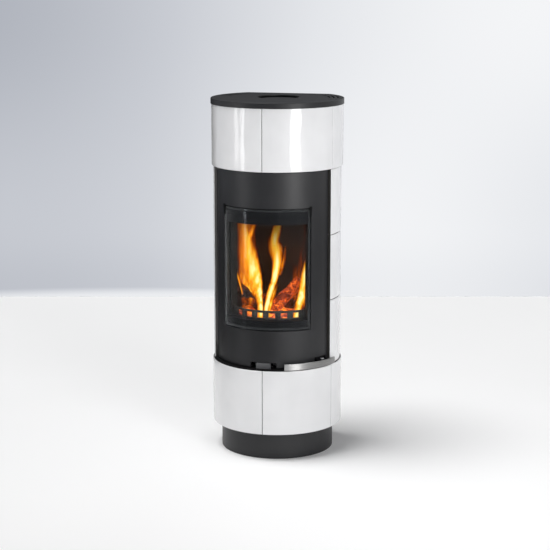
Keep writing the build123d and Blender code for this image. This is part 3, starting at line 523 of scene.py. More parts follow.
@dataclass(frozen=True)
class TurnedSteel(Finish):
    """Bright steel pins and screws turned on a lathe.

    The eye gets a plain grey metal with fine rings and a light oil film.
    """

    colour: str = "#9A9996"
    oiled: str = "#7E7C79"
    film_mm: float = 6.0
    ring_mm: float = 5.0  # a lathe leaves rings of about 0.1 mm, too fine to show
    ring_depth_mm: float = 0.01

    def surface(self, tree: Tree) -> Socket:
        """Build the shader of the turned metal.

        Args:
            tree: Node tree of the material.

        Returns:
            The shader's output socket.
        """
        add = partial(add_node, tree)
        at = add("ShaderNodeTexCoord").outputs["Object"]
        # The wave texture turns through 20 radians in each cell.
        rings = add(
            "ShaderNodeTexWave",
            {
                "wave_type": "BANDS",
                "bands_direction": "Z",
                "Vector": at,
                "Scale": cells(self.ring_mm) * math.tau / 20,
                "Distortion": 1.5,
            },
        ).outputs[1]
        film = add("ShaderNodeTexNoise", {"Vector": at, "Scale": cells(self.film_mm)}).outputs[0]
        metal = add(
            "ShaderNodeValToRGB", {0: film, "stops": ((0.3, self.oiled), (0.7, self.colour))}
        ).outputs[0]
        rough = add("ShaderNodeMapRange", {0: film, 1: 0.3, 2: 0.7, 3: 0.26, 4: 0.42}).outputs[0]
        turned = add(
            "ShaderNodeBump", {"Height": rings, "Distance": self.ring_depth_mm * MM}
        ).outputs["Normal"]
        return add(
            "ShaderNodeBsdfPrincipled",
            {"Base Color": metal, "Metallic": 1.0, "Roughness": rough, "Normal": turned},
        ).outputs[0]


@dataclass(frozen=True)
class GalvanisedSheet(Finish):
    """Steel sheet dipped in zinc.

    The eye gets a cool grey metal broken into flat crystals of slightly
    different brightness.
    """

    crystal_mm: float = 14.0
    dent_mm: float = 5.0
    dent_depth_mm: float = 0.02

    def surface(self, tree: Tree) -> Socket:
        """Build the shader of the zinc coat.

        Args:
            tree: Node tree of the material.

        Returns:
            The shader's output socket.
        """
        add = partial(add_node, tree)
        at = add("ShaderNodeTexCoord").outputs["Object"]
        crystals = add(
            "ShaderNodeTexVoronoi", {"Vector": at, "Scale": cells(self.crystal_mm)}
        ).outputs[1]
        shade = add("ShaderNodeSeparateColor", {0: crystals}).outputs[0]
        zinc = add(
            "ShaderNodeValToRGB", {0: shade, "stops": ((0.0, "#8F9498"), (1.0, "#B4B8BB"))}
        ).outputs[0]
        rough = add("ShaderNodeMapRange", {0: shade, 3: 0.36, 4: 0.55}).outputs[0]
        dents = add("ShaderNodeTexNoise", {"Vector": at, "Scale": cells(self.dent_mm)}).outputs[0]
        skin = add(
            "ShaderNodeBump", {"Height": dents, "Distance": self.dent_depth_mm * MM}
        ).outputs["Normal"]
        return add(
            "ShaderNodeBsdfPrincipled",
            {"Base Color": zinc, "Metallic": 1.0, "Roughness": rough, "Normal": skin},
        ).outputs[0]


@dataclass(frozen=True)
class SandCastIron(Finish):
    """Grey iron cast in sand and blackened by use.

    The eye gets a dark dull metal with a pebbled skin and a few ash-grey
    patches.
    """

    pebble_mm: float = 2.5
    pebble_depth_mm: float = 0.25
    patch_mm: float = 35.0

    def surface(self, tree: Tree) -> Socket:
        """Build the shader of the cast skin.

        Args:
            tree: Node tree of the material.

        Returns:
            The shader's output socket.
        """
        add = partial(add_node, tree)
        at = add("ShaderNodeTexCoord").outputs["Object"]
        pebbles = add(
            "ShaderNodeTexNoise", {"Vector": at, "Scale": cells(self.pebble_mm), "Detail": 3.0}
        ).outputs[0]
        ash = add(
            "ShaderNodeTexNoise", {"Vector": at, "Scale": cells(self.patch_mm), "Detail": 4.0}
        ).outputs[0]
        iron = add(
            "ShaderNodeValToRGB",
            {0: ash, "stops": ((0.4, "#2A2826"), (0.6, "#3B3836"), (0.75, "#6A645E"))},
        ).outputs[0]
        rough = add("ShaderNodeMapRange", {0: ash, 1: 0.4, 2: 0.7, 3: 0.55, 4: 0.85}).outputs[0]
        skin = add(
            "ShaderNodeBump", {"Height": pebbles, "Distance": self.pebble_depth_mm * MM}
        ).outputs["Normal"]
        return add(
            "ShaderNodeBsdfPrincipled",
            {"Base Color": iron, "Metallic": 0.35, "Roughness": rough, "Normal": skin},
        ).outputs[0]


@dataclass(frozen=True)
class PressedVermiculite(Finish):
    """Vermiculite pressed into boards, scorched by the fire.

    The eye gets a crumbly sand-coloured face with flakes, darkened almost all
    over, in large soft patches, by soot and by painted shade for the firebox's dark inside.
    """

    flake_mm: float = 4.0
    flake_depth_mm: float = 0.5
    soot_and_shade_mm: float = 120.0
    soot_and_shade_colour: str = "#060505"

    def surface(self, tree: Tree) -> Socket:
        """Build the shader of the pressed board.

        Args:
            tree: Node tree of the material.

        Returns:
            The shader's output socket.
        """
        add = partial(add_node, tree)
        at = add("ShaderNodeTexCoord").outputs["Object"]
        flakes = add(
            "ShaderNodeTexVoronoi", {"Vector": at, "Scale": cells(self.flake_mm)}
        ).outputs
        tone = add("ShaderNodeSeparateColor", {0: flakes[1]}).outputs[0]
        clean = add(
            "ShaderNodeValToRGB", {0: tone, "stops": ((0.0, "#8A7454"), (1.0, "#B39A72"))}
        ).outputs[0]
        smoke = add(
            "ShaderNodeTexNoise", {"Vector": at, "Scale": cells(self.soot_and_shade_mm), "Detail": 4.0}
        ).outputs[0]
        # soot and painted shade: the boards turn 95 to 99.8 per cent near black, for soot and for the
        # shade of the firebox's inside
        soot_and_shade = add("ShaderNodeMapRange", {0: smoke, 1: 0.30, 2: 0.62, 3: 0.95, 4: 0.998}).outputs[0]
        board = add(
            "ShaderNodeMix", {"data_type": "RGBA", "Factor": soot_and_shade, 6: clean, 7: linear(self.soot_and_shade_colour)}
        ).outputs[2]
        crumbs = add(
            "ShaderNodeBump", {"Height": flakes[0], "Distance": self.flake_depth_mm * MM}
        ).outputs["Normal"]
        return add(
            "ShaderNodeBsdfPrincipled", {"Base Color": board, "Roughness": 0.95, "Normal": crumbs}
        ).outputs[0]


@dataclass(frozen=True)
class GlassCeramic(Finish):
    """Rolled and bent glass ceramic, faintly grey.

    The eye gets clear dark glass with sharp reflections. Lamps reach through
    it, so that what stands behind is lit as it is through real glass.
    """

    tint: str = "#EDEFF0"
    sheen: str = "#66686D"
    edge: str = "#060607"  # painted shade: the pane's edge faces are near black for the dark gap round the pane
    wave_mm: float = 60.0
    wave_depth_mm: float = 0.03

    def surface(self, tree: Tree) -> Socket:
        """Build the shader of the pane.

        Args:
            tree: Node tree of the material.

        Returns:
            The shader's output socket.
        """
        add = partial(add_node, tree)
        at = add("ShaderNodeTexCoord").outputs["Object"]
        away = steepness(tree, outward(tree, at))
        # painted shade: faces turned away from outward, the pane's edges, go near black
        rim = add("ShaderNodeMapRange", {0: away, 1: 0.02, 2: 0.1}).outputs[0]
        body = add(
            "ShaderNodeValToRGB", {0: rim, "stops": ((0.0, self.tint), (1.0, self.edge))}
        ).outputs[0]
        slow = add(
            "ShaderNodeTexNoise", {"Vector": at, "Scale": cells(self.wave_mm), "Detail": 0.0}
        ).outputs[0]
        waves = add(
            "ShaderNodeBump", {"Height": slow, "Distance": self.wave_depth_mm * MM}
        ).outputs["Normal"]
        glass = add(
            "ShaderNodeBsdfPrincipled",
            {
                "Base Color": body,
                "Roughness": 0.01,
                "IOR": 1.52,
                "Transmission Weight": 1.0,
                "Specular Tint": linear(self.sheen),
                "Normal": waves,
            },
        ).outputs[0]
        clear = add("ShaderNodeBsdfTransparent", {0: linear(self.tint)}).outputs[0]
        shadow = add("ShaderNodeLightPath").outputs["Is Shadow Ray"]
        return add("ShaderNodeMixShader", {0: shadow, 1: glass, 2: clear}).outputs[0]


@dataclass(frozen=True)
class BraidedGlassFibre(Finish):
    """Glass-fibre rope, braided and dyed dark.

    The eye gets a matt dark textile with fine crossing yarns and a little fuzz.
    """

    yarn_mm: float = 1.4
    yarn_depth_mm: float = 0.2

    def surface(self, tree: Tree) -> Socket:
        """Build the shader of the rope.

        Args:
            tree: Node tree of the material.

        Returns:
            The shader's output socket.
        """
        add = partial(add_node, tree)
        at = add("ShaderNodeTexCoord").outputs["Object"]
        yarn = add("ShaderNodeTexNoise", {"Vector": at, "Scale": cells(self.yarn_mm)}).outputs[0]
        dye = add(
            "ShaderNodeValToRGB", {0: yarn, "stops": ((0.3, "#121213"), (0.7, "#2A2A2A"))}
        ).outputs[0]
        weave = add(
            "ShaderNodeBump", {"Height": yarn, "Distance": self.yarn_depth_mm * MM}
        ).outputs["Normal"]
        return add(
            "ShaderNodeBsdfPrincipled",
            {"Base Color": dye, "Roughness": 0.92, "Sheen Weight": 0.25, "Normal": weave},
        ).outputs[0]


@dataclass(frozen=True)
class BurningWood(Finish):
    """Split beech, charred black and checked, glowing in its cracks.

    The eye gets black scales with red to orange lines between them. glow is the
    brightness of the embers, and start is the heat from 0 to 1 at which they
    begin to show.
    """

    glow: float
    start: float
    scale_mm: float = 9.0
    scale_depth_mm: float = 2.0
    wobble_mm: float = 18.0
    wobble: float = 0.012
    heat_mm: float = 40.0
    skin_mm: float = 14.0

    def surface(self, tree: Tree) -> Socket:
        """Build the shader of the charred wood.

        Args:
            tree: Node tree of the material.

        Returns:
            The shader's output socket.
        """
        add = partial(add_node, tree)
        at = add("ShaderNodeTexCoord").outputs["Object"]
        stir = add("ShaderNodeTexNoise", {"Vector": at, "Scale": cells(self.wobble_mm)}).outputs[0]
        shift = add(
            "ShaderNodeVectorMath", {"operation": "SCALE", 0: stir, "Scale": self.wobble}
        ).outputs[0]
        bent = add("ShaderNodeVectorMath", {0: at, 1: shift}).outputs[0]
        cracks = add(
            "ShaderNodeTexVoronoi",
            {"feature": "DISTANCE_TO_EDGE", "Vector": bent, "Scale": cells(self.scale_mm)},
        ).outputs[0]
        heat = add(
            "ShaderNodeTexNoise", {"Vector": at, "Scale": cells(self.heat_mm), "Detail": 4.0}
        ).outputs[0]
        hot = add("ShaderNodeMapRange", {0: heat, 1: self.start, 2: self.start + 0.24}).outputs[0]
        gap = add("ShaderNodeMapRange", {0: cracks, 2: 0.16, 3: 0.55, 4: 0.0}).outputs[0]
        ember = add("ShaderNodeMath", {"operation": "MULTIPLY", 0: gap, 1: hot}).outputs[0]
        flecks = add(
            "ShaderNodeTexNoise", {"Vector": at, "Scale": cells(self.skin_mm), "Detail": 4.0}
        ).outputs[0]
        skin = add("ShaderNodeMapRange", {0: flecks, 1: 0.42, 2: 0.72, 4: 0.55}).outputs[0]
        glowing = add("ShaderNodeMath", {"operation": "MULTIPLY", 0: skin, 1: hot}).outputs[0]
        fire = add("ShaderNodeMath", {"operation": "ADD", 0: ember, 1: glowing}).outputs[0]
        char = add(
            "ShaderNodeValToRGB", {0: heat, "stops": ((0.3, "#17110E"), (0.7, "#3A1E14"))}
        ).outputs[0]
        embers = ((0.0, "#080100"), (0.3, "#7A2404"), (0.65, "#C8480A"), (1.0, "#FF9A30"))
        scales = add(
            "ShaderNodeBump", {"Height": cracks, "Distance": self.scale_depth_mm * MM}
        ).outputs["Normal"]
        return add(
            "ShaderNodeBsdfPrincipled",
            {
                "Base Color": char,
                "Roughness": 0.9,
                "Emission Color": add("ShaderNodeValToRGB", {0: fire, "stops": embers}).outputs[0],
                "Emission Strength": self.glow,
                "Normal": scales,
            },
        ).outputs[0]


@dataclass(frozen=True)
class HotAsh(Finish):
    """Loose ash over live embers.

    The eye gets a pale grey powder with red patches that shine through it.
    """

    lump_mm: float = 12.0
    lump_depth_mm: float = 1.5
    heat_mm: float = 30.0
    glow: float = 2.2

    def surface(self, tree: Tree) -> Socket:
        """Build the shader of the ash bed.

        Args:
            tree: Node tree of the material.

        Returns:
            The shader's output socket.
        """
        add = partial(add_node, tree)
        at = add("ShaderNodeTexCoord").outputs["Object"]
        lumps = add(
            "ShaderNodeTexNoise", {"Vector": at, "Scale": cells(self.lump_mm), "Detail": 4.0}
        ).outputs[0]
        powder = add(
            "ShaderNodeValToRGB", {0: lumps, "stops": ((0.3, "#2E2926"), (0.7, "#8C8378"))}
        ).outputs[0]
        warmth = add(
            "ShaderNodeTexNoise", {"Vector": at, "Scale": cells(self.heat_mm), "Detail": 3.0}
        ).outputs[0]
        heat = add("ShaderNodeMapRange", {0: warmth, 1: 0.36, 2: 0.62}).outputs[0]
        embers = ((0.0, "#000000"), (0.5, "#8A1A03"), (1.0, "#FF8A22"))
        heap = add(
            "ShaderNodeBump", {"Height": lumps, "Distance": self.lump_depth_mm * MM}
        ).outputs["Normal"]
        return add(
            "ShaderNodeBsdfPrincipled",
            {
                "Base Color": powder,
                "Roughness": 0.95,
                "Emission Color": add("ShaderNodeValToRGB", {0: heat, "stops": embers}).outputs[0],
                "Emission Strength": self.glow,
                "Normal": heap,
            },
        ).outputs[0]


@dataclass(frozen=True)
class WoodFlame(Finish):
    """Burning wood gas, a soft sheet of light with no surface of its own.

    The eye gets a pale yellow heart that runs through orange to a thin red
    edge. The mesh's UV map holds the heat across and the place along a tongue.
    """

    brightness: float = 1.5
    lick_mm: float = 18.0
    stretch: float = 0.12  # licks are drawn out upright

    def surface(self, tree: Tree) -> Socket:
        """Build the shader of the flame.

        Args:
            tree: Node tree of the material.

        Returns:
            The shader's output socket.
        """
        add = partial(add_node, tree)
        places = add("ShaderNodeTexCoord").outputs
        sheet = add("ShaderNodeSeparateXYZ", {0: places["UV"]}).outputs
        drawn = add(
            "ShaderNodeVectorMath",
            {"operation": "MULTIPLY", 0: places["Object"], 1: (1.0, 1.0, self.stretch)},
        ).outputs[0]
        licks = add(
            "ShaderNodeTexNoise", {"Vector": drawn, "Scale": cells(self.lick_mm), "Distortion": 0.3}
        ).outputs[0]
        uneven = add("ShaderNodeMapRange", {0: licks, 1: 0.3, 2: 0.7, 3: -0.26, 4: 0.16}).outputs[0]
        heat = add("ShaderNodeMath", {"operation": "ADD", 0: sheet[0], 1: uneven}).outputs[0]
        tones = (
            (0.05, "#4A0C01"),
            (0.30, "#B84A04"),
            (0.56, "#F28C12"),
            (0.80, "#FFC53C"),
            (1.0, "#FFEBA0"),
        )
        colour = add("ShaderNodeValToRGB", {0: heat, "stops": tones}).outputs[0]
        glow = add("ShaderNodeEmission", {"Color": colour, "Strength": self.brightness}).outputs[0]
        dense = add("ShaderNodeMapRange", {0: heat, 1: 0.08, 2: 0.62}).outputs[0]
        fade = add("ShaderNodeMapRange", {0: sheet[1], 1: 0.55, 3: 1.0, 4: 0.0}).outputs[0]
        shown = add("ShaderNodeMath", {"operation": "MULTIPLY", 0: dense, 1: fade}).outputs[0]
        clear = add("ShaderNodeBsdfTransparent").outputs[0]
        return add("ShaderNodeMixShader", {0: shown, 1: clear, 2: glow}).outputs[0]


@dataclass(frozen=True)
class SmoothScreed(Finish):
    """White cement floor, trowelled smooth and sealed.

    The eye gets a plain pale plane with hardly any gloss.
    """

    colour: str = "#F7F7F7"
    worn: str = "#F5F5F5"
    patch_mm: float = 900.0
    lift: float = 0.03  # light of its own where it is looked at, never on the stove

    def surface(self, tree: Tree) -> Socket:
        """Build the shader of the floor.

        Args:
            tree: Node tree of the material.

        Returns:
            The shader's output socket.
        """
        add = partial(add_node, tree)
        at = add("ShaderNodeTexCoord").outputs["Object"]
        patches = add("ShaderNodeTexNoise", {"Vector": at, "Scale": cells(self.patch_mm)}).outputs[0]
        cement = add(
            "ShaderNodeValToRGB", {0: patches, "stops": ((0.3, self.worn), (0.7, self.colour))}
        ).outputs[0]
        lift = add(
            "ShaderNodeMath", {"operation": "MULTIPLY", 0: looked_at(tree), 1: self.lift}
        ).outputs[0]
        return add(
            "ShaderNodeBsdfPrincipled",
            {
                "Base Color": cement,
                "Roughness": 0.8,
                "Specular IOR Level": 0.1,
                "Emission Color": linear("#FFFFFF"),
                "Emission Strength": lift,
            },
        ).outputs[0]


@dataclass(frozen=True)
class BlackMolleton(Finish):
    """Black brushed cotton on a frame, as hung in photo studios.

    The eye gets nothing of it but the dark edge that it gives to gloss.
    """

    nap_mm: float = 4.0

    def surface(self, tree: Tree) -> Socket:
        """Build the shader of the cloth.

        Args:
            tree: Node tree of the material.

        Returns:
            The shader's output socket.
        """
        add = partial(add_node, tree)
        at = add("ShaderNodeTexCoord").outputs["Object"]
        nap = add("ShaderNodeTexNoise", {"Vector": at, "Scale": cells(self.nap_mm)}).outputs[0]
        cotton = add(
            "ShaderNodeValToRGB", {0: nap, "stops": ((0.3, "#0C0C0D"), (0.7, "#1A1A1B"))}
        ).outputs[0]
        return add(
            "ShaderNodeBsdfPrincipled", {"Base Color": cotton, "Roughness": 1.0, "Sheen Weight": 0.1}
        ).outputs[0]


GLAZE = GlazedStoneware("white_glazed_stoneware")
SATIN_STEEL = SprayedStovePaint("anthracite_sprayed_steel")
DARK_STEEL = SprayedStovePaint("black_sprayed_steel", "#101011", 0.6, 0.1)
TOP_STEEL = SlottedPlatePaint("textured_sprayed_steel", "#1A1A1C", 0.44, 0.36)
STAINLESS = BrushedStainless("brushed_stainless_steel")
# the same brushed stainless in darker colours, for the air slider
DARKER_STAINLESS = BrushedStainless("darker_brushed_stainless_steel", "#8C8C8D", "#747475")
PIN_STEEL = TurnedSteel("turned_steel")
ZINC = GalvanisedSheet("galvanised_sheet")
IRON = SandCastIron("sand_cast_iron")
BOARD = PressedVermiculite("pressed_vermiculite")
GLASS = GlassCeramic("glass_ceramic")
FIBRE = BraidedGlassFibre("braided_glass_fibre")
CHAR = BurningWood("charred_beech", 0.9, 0.46)
GLOWING = BurningWood("glowing_beech", 2.0, 0.26)
ASH = HotAsh("hot_ash")
FLAME = WoodFlame("wood_flame")
FLOOR = SmoothScreed("white_floor")
CLOTH = BlackMolleton("black_molleton")


def add_piece(
    name: str,
    points: Iterable[Sequence[float]],
    faces: Iterable[Sequence[int]],
    finish: Finish,
    body: Body | None,
) -> bpy.types.Object:
    """Make a smooth mesh piece in the stove's frame.

    Args:
        name: Name of the piece.
        points: Vertices in metres.
        faces: Vertex numbers of each face.
        finish: Finish of the whole piece.
        body: Body that it moves with, or None for the studio.

    Returns:
        The new object.
    """
    mesh = bpy.data.meshes.new(name)
    mesh.from_pydata([tuple(point) for point in points], [], [tuple(face) for face in faces])
    mesh.validate()
    mesh.polygons.foreach_set("use_smooth", [True] * len(mesh.polygons))
    mesh.materials.append(finish.material())
    piece = bpy.data.objects.new(name, mesh)
    bpy.context.scene.collection.objects.link(piece)
    if body is None:
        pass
    else:
        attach(piece, body.value)
        LOG.info("%s rides on %s", name, body.value)
    return piece


# ---------------------------------------------------------------- sub-assemblies
class SubAssembly:
    """A group of the stove's pieces that is dressed and completed together."""

    def finishes(self) -> Mapping[Finish, Sequence[str]]:
        """Return the CAD nodes that each finish covers."""
        raise NotImplementedError

    def build(self) -> list[bpy.types.Object]:
        """Return the pieces that the scene adds, none unless a sub-assembly makes some."""
        return []

    def dress(self) -> set[str]:
        """Give the CAD nodes their finishes.

        Returns:
            The names of the nodes.
        """
        dressed: set[str] = set()
        for finish, names in self.finishes().items():
            for name in names:
                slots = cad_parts[name].data.materials
                slots.clear()
                slots.append(finish.material())
                dressed.add(name)
                LOG.info("%s is %s", name, finish.name)
        return dressed


@dataclass
class TileCladding(SubAssembly):
    """The glazed tiles and the galvanised jackets that carry them."""

    ring_tiles: int = 4
    side_rows: int = 3

    def finishes(self) -> Mapping[Finish, Sequence[str]]:
        """List the CAD nodes that each finish covers.

        Returns:
            The names of the nodes for each finish.
        """
        tiles = [
            f"{place}_tile_{number + 1}"
            for place, count in (
                ("lower_ring", self.ring_tiles),
                ("upper_ring", self.ring_tiles),
                ("left_side", self.side_rows),
                ("right_side", self.side_rows),
            )
            for number in range(count)
        ]
        return {GLAZE: tiles, ZINC: ["lower_jacket", "side_jackets", "upper_jacket"]}


@dataclass
class Housing(SubAssembly):
    """Plinth, shelves, top plate, back panel and connections. Its sizes are millimetres."""

    screw_rows: int = 6
    screw_radius: float = 4.5
    screw_height: float = 2.4
    dome: tuple[tuple[float, float], ...] = (
        (1.0, 0.0),
        (0.99, 0.22),
        (0.93, 0.5),
        (0.8, 0.78),
        (0.6, 0.95),
        (0.42, 1.0),
    )  # shares of the screw's radius and height
    key_width: float = 3.0
    key_depth: float = 1.5
    facets: int = 36

    def finishes(self) -> Mapping[Finish, Sequence[str]]:
        """List the CAD nodes that each finish covers.

        Returns:
            The names of the nodes for each finish.
        """
        return {
            SATIN_STEEL: [
                "plinth",
                "lower_shelf",
                "upper_shelf",
                "rear_panel",
                "rear_flue_collar",
                "air_inlet_collar",
            ],
            TOP_STEEL: ["top_plate", "flue_cover"],
            # painted shade: the middle shelf is near black so that it gives the dark shadow band under
            # the door
            DARK_STEEL: ["middle_shelf"],
            ZINC: ["support_cheeks", "rear_heat_shield", "air_duct"],
            PIN_STEEL: ["panel_screws"],
        }

    def key_radius(self, turn: float) -> float:
        """Find the edge of the six-sided key hole.

        Args:
            turn: Angle round the screw in radians.

        Returns:
            The distance from the screw's middle in millimetres.
        """
        sixth = math.tau / 6
        return self.key_width / 2 / math.cos((turn + sixth / 2) % sixth - sixth / 2)

    def screw(self, seat: Vector) -> tuple[list[Vector], Faces]:
        """Make one domed screw with a key hole.

        Args:
            seat: Middle of its seat on the panel in metres.

        Returns:
            Its vertices, and its faces as numbers of these vertices.
        """
        turns = [math.tau * part / self.facets for part in range(self.facets)]
        rings = [
            [(share * self.screw_radius, rise * self.screw_height)] * self.facets
            for share, rise in self.dome
        ]
        rings += [
            [(self.key_radius(turn), self.screw_height - depth) for turn in turns]
            for depth in (0.0, self.key_depth)
        ]
        points = [
            seat + Vector((radius * math.cos(turn), rise, radius * math.sin(turn))) * MM
            for ring in rings
            for turn, (radius, rise) in zip(turns, ring)
        ]
        skin = grid_faces(len(rings), self.facets, True)
        bottom = range(len(points) - 1, len(points) - self.facets - 1, -1)
        return points, [face[::-1] for face in skin] + [tuple(bottom), tuple(range(self.facets))]

    def build(self) -> list[bpy.types.Object]:
        """Make the screws of the back panel in two rows.

        Returns:
            One piece with all the screws.
        """
        low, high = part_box("panel_screws")
        edge = self.screw_radius * MM
        step = (high.z - low.z - 2 * edge) / (self.screw_rows - 1)
        points: list[Vector] = []
        faces: Faces = []
        for across in (low.x + edge, high.x - edge):
            for row in range(self.screw_rows):
                seat = Vector((across, low.y, low.z + edge + row * step))
                start = len(points)
                corners, sides = self.screw(seat)
                points += corners
                faces += [tuple(start + corner for corner in side) for side in sides]
        screws = add_piece(
            "rear_panel_screws", points, faces, PIN_STEEL, Body.STOVE
        )
        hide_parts("panel_screws")
        return [screws]


@dataclass(frozen=True)
class RopeLoop:
    """A braided seal laid in a loop on a cylinder round the stove's axis.

    Its sizes are millimetres. depth_of_braid is the share of the rope's
    thickness that is lost between two strands.
    """

    name: str
    node: str
    corner: float
    strands: int
    width: float
    depth_of_braid: float
    lay: float = 2.2  # widths in which a strand runs once round the rope
    step: float = 1.6
    corner_parts: int = 8
    facets: int = 20

    def path(self, half_width: float, low: float, high: float) -> list[Vector]:
        """Lay out a rectangle with round corners, in millimetres.

        Args:
            half_width: Half of its width along the cylinder.
            low: Its lower level.
            high: Its upper level.

        Returns:
            The points, which run anticlockwise.
        """
        inner = half_width - self.corner
        corners = (
            (inner, low + self.corner, -90),
            (inner, high - self.corner, 0),
            (-inner, high - self.corner, 90),
            (-inner, low + self.corner, 180),
        )
        outline: list[Vector] = []
        for across, level, start in corners:
            for part in range(self.corner_parts + 1):
                turn = math.radians(start + 90 * part / self.corner_parts)
                spoke = Vector((math.cos(turn), math.sin(turn)))
                outline.append(Vector((across, level)) + spoke * self.corner)
        points: list[Vector] = []
        for here, there in zip(outline, outline[1:] + outline[:1]):
            count = max(1, round((there - here).length / self.step))
            points += [here.lerp(there, part / count) for part in range(count)]
        return points

    def build(self) -> bpy.types.Object:
        """Make the braided loop in the space of its CAD node.

        Returns:
            The loop.
        """
        low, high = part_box(self.node)
        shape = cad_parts[self.node].data.vertices
        radii = [math.hypot(vertex.co.x, vertex.co.y) / MM for vertex in shape]
        middle, depth = (min(radii) + max(radii)) / 2, max(radii) - min(radii)
        half_arc = max(math.atan2(abs(vertex.co.x), -vertex.co.y) for vertex in shape)
        half = self.width / 2
        centre = self.path(half_arc * middle - half, low.z / MM + half, high.z / MM - half)
        points: list[Vector] = []
        travelled = 0.0
        for index, here in enumerate(centre):
            there = centre[(index + 1) % len(centre)]
            ahead = there - centre[index - 1]
            side = Vector((-ahead.y, ahead.x)).normalized()
            twist = math.tau * travelled / (self.lay * self.width)
            for part in range(self.facets):
                turn = math.tau * part / self.facets
                strand = max(
                    abs(math.sin(self.strands * turn / 2 + twist)),
                    abs(math.sin(self.strands * turn / 2 - twist)),
                )
                swell = 1 - self.depth_of_braid * (1 - strand)
                flat = here + side * (math.cos(turn) * half * swell)
                radius = middle + math.sin(turn) * depth / 2 * swell
                points.append(around(radius, math.degrees(flat.x / middle), flat.y))
            travelled += (there - here).length
        last = (len(centre) - 1) * self.facets
        faces = grid_faces(len(centre), self.facets, True)
        for part in range(self.facets):
            following = (part + 1) % self.facets
            faces.append((last + part, last + following, following, part))
        piece = add_piece(self.name, points, faces, FIBRE, Body.DOOR)
        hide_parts(self.node)
        return piece


@dataclass
class Door(SubAssembly):
    """The curved door with its pane, seals, hinges and handle."""

    seals: tuple[RopeLoop, ...] = (
        RopeLoop("door_seal_rope", "door_seal", 12, 6, 10, 0.16),
        RopeLoop("glass_gasket_tape", "glass_gasket", 8, 10, 8, 0.08),
    )

    def finishes(self) -> Mapping[Finish, Sequence[str]]:
        """List the CAD nodes that each finish covers.

        Returns:
            The names of the nodes for each finish.
        """
        return {
            SATIN_STEEL: ["door_panel"],
            DARK_STEEL: ["door_frame", "glass_clips", "handle_bracket"],
            GLASS: ["glass_pane"],
            FIBRE: ["door_seal", "glass_gasket"],
            STAINLESS: ["handle_bar", "handle_lever"],
            PIN_STEEL: ["hinge_bushes", "hinge_pins", "handle_pivot_pin", "latch_keeper"],
        }

    def build(self) -> list[bpy.types.Object]:
        """Make the two braided seals."""
        return [seal.build() for seal in self.seals]


@dataclass
class Firebox(SubAssembly):
    """The steel firebox with its linings, grate, ash pan and air slider."""

    def finishes(self) -> Mapping[Finish, Sequence[str]]:
        """List the CAD nodes that each finish covers.

        Returns:
            The names of the nodes for each finish.
        """
        return {
            DARK_STEEL: [
                "firebox_shell",
                "firebox_top",
                "hearth_plate",
                "blanking_plate",
                "slider_guides",
                "pan_runners",
                "ash_pan",
            ],
            BOARD: [
                "hearth_brick",
                "back_brick",
                "left_brick",
                "right_brick",
                "lower_baffle",
                "upper_baffle",
            ],
            IRON: ["grate", "log_guard"],
            DARKER_STAINLESS: ["air_slider"],
        }


@dataclass(frozen=True)
class Log:
    """A split log in millimetres: its ends, its radius, its seed and its finish.

    flats gives each split side's angle in degrees and its distance from the
    middle. lumps and grooves give the depth of a pattern and how often it
    repeats round and along the log. All depths are shares of the radius.
    """

    name: str
    start: Place
    end: Place
    radius: float
    seed: int
    finish: Finish = CHAR
    flats: tuple[tuple[float, float], ...] = ((40.0, 0.45), (150.0, 0.5))
    lumps: Pattern = (0.14, 2.0, 4.0)
    grooves: Pattern = (0.10, 6.0, 1.5)
    bark_depth: float = 0.05
    end_depth: float = 0.12
    bow: float = 0.06
    rows: int = 44
    columns: int = 44

    def spot(self, pattern: Pattern, turn: float, along: float) -> Vector:
        """Find the place in the noise that shapes a place on the log.

        Args:
            pattern: Depth of the pattern, and its repeats round and along.
            turn: Angle round the log in radians.
            along: Place along the log from 0 to 1.

        Returns:
            The place in the noise.
        """
        _, around_it, lengthwise = pattern
        return Vector(
            (
                math.cos(turn) * around_it,
                math.sin(turn) * around_it,
                along * lengthwise + self.seed,
            )
        )

    def reach(self, turn: float, along: float) -> float:
        """Find how far the log's skin lies from its middle.

        Args:
            turn: Angle round the log in radians.
            along: Place along the log from 0 to 1.

        Returns:
            The distance as a share of the radius.
        """
        reach = 1.0
        for middle, depth in self.flats:
            facing = math.cos(turn - math.radians(middle))
            if facing > 0:
                reach = min(reach, depth / facing)
        groove = self.spot(self.grooves, turn, along)
        rough = self.lumps[0] * noise.noise(self.spot(self.lumps, turn, along))
        rough += self.grooves[0] * noise.noise(groove)
        if 0.0 < along < 1.0:
            return reach + rough + self.bark_depth * noise.noise(groove * 2)
        return reach + rough + self.end_depth * rough

    def build(self) -> bpy.types.Object:
        """Make the log with checked bark and broken ends.

        Returns:
            The log.
        """
        start, end = Vector(self.start) * MM, Vector(self.end) * MM
        axis = end - start
        turn_to = axis.to_track_quat("Z", "Y").to_matrix()
        points: list[Vector] = []
        for row in range(self.rows):
            along = min(max((row - 1) / (self.rows - 3), 0.0), 1.0)
            closed = row in (0, self.rows - 1)
            bend = Vector((math.sin(along * 3 + self.seed), math.cos(along * 2.5), 0)) * self.bow
            for column in range(self.columns):
                turn = math.tau * column / self.columns
                reach = 0.0 if closed else self.reach(turn, along)
                spoke = Vector((math.cos(turn), math.sin(turn), 0)) * reach
                points.append(start + axis * along + turn_to @ (spoke + bend) * self.radius * MM)
        faces = grid_faces(self.rows, self.columns, True)
        return add_piece(self.name, points, faces, self.finish, Body.STOVE)


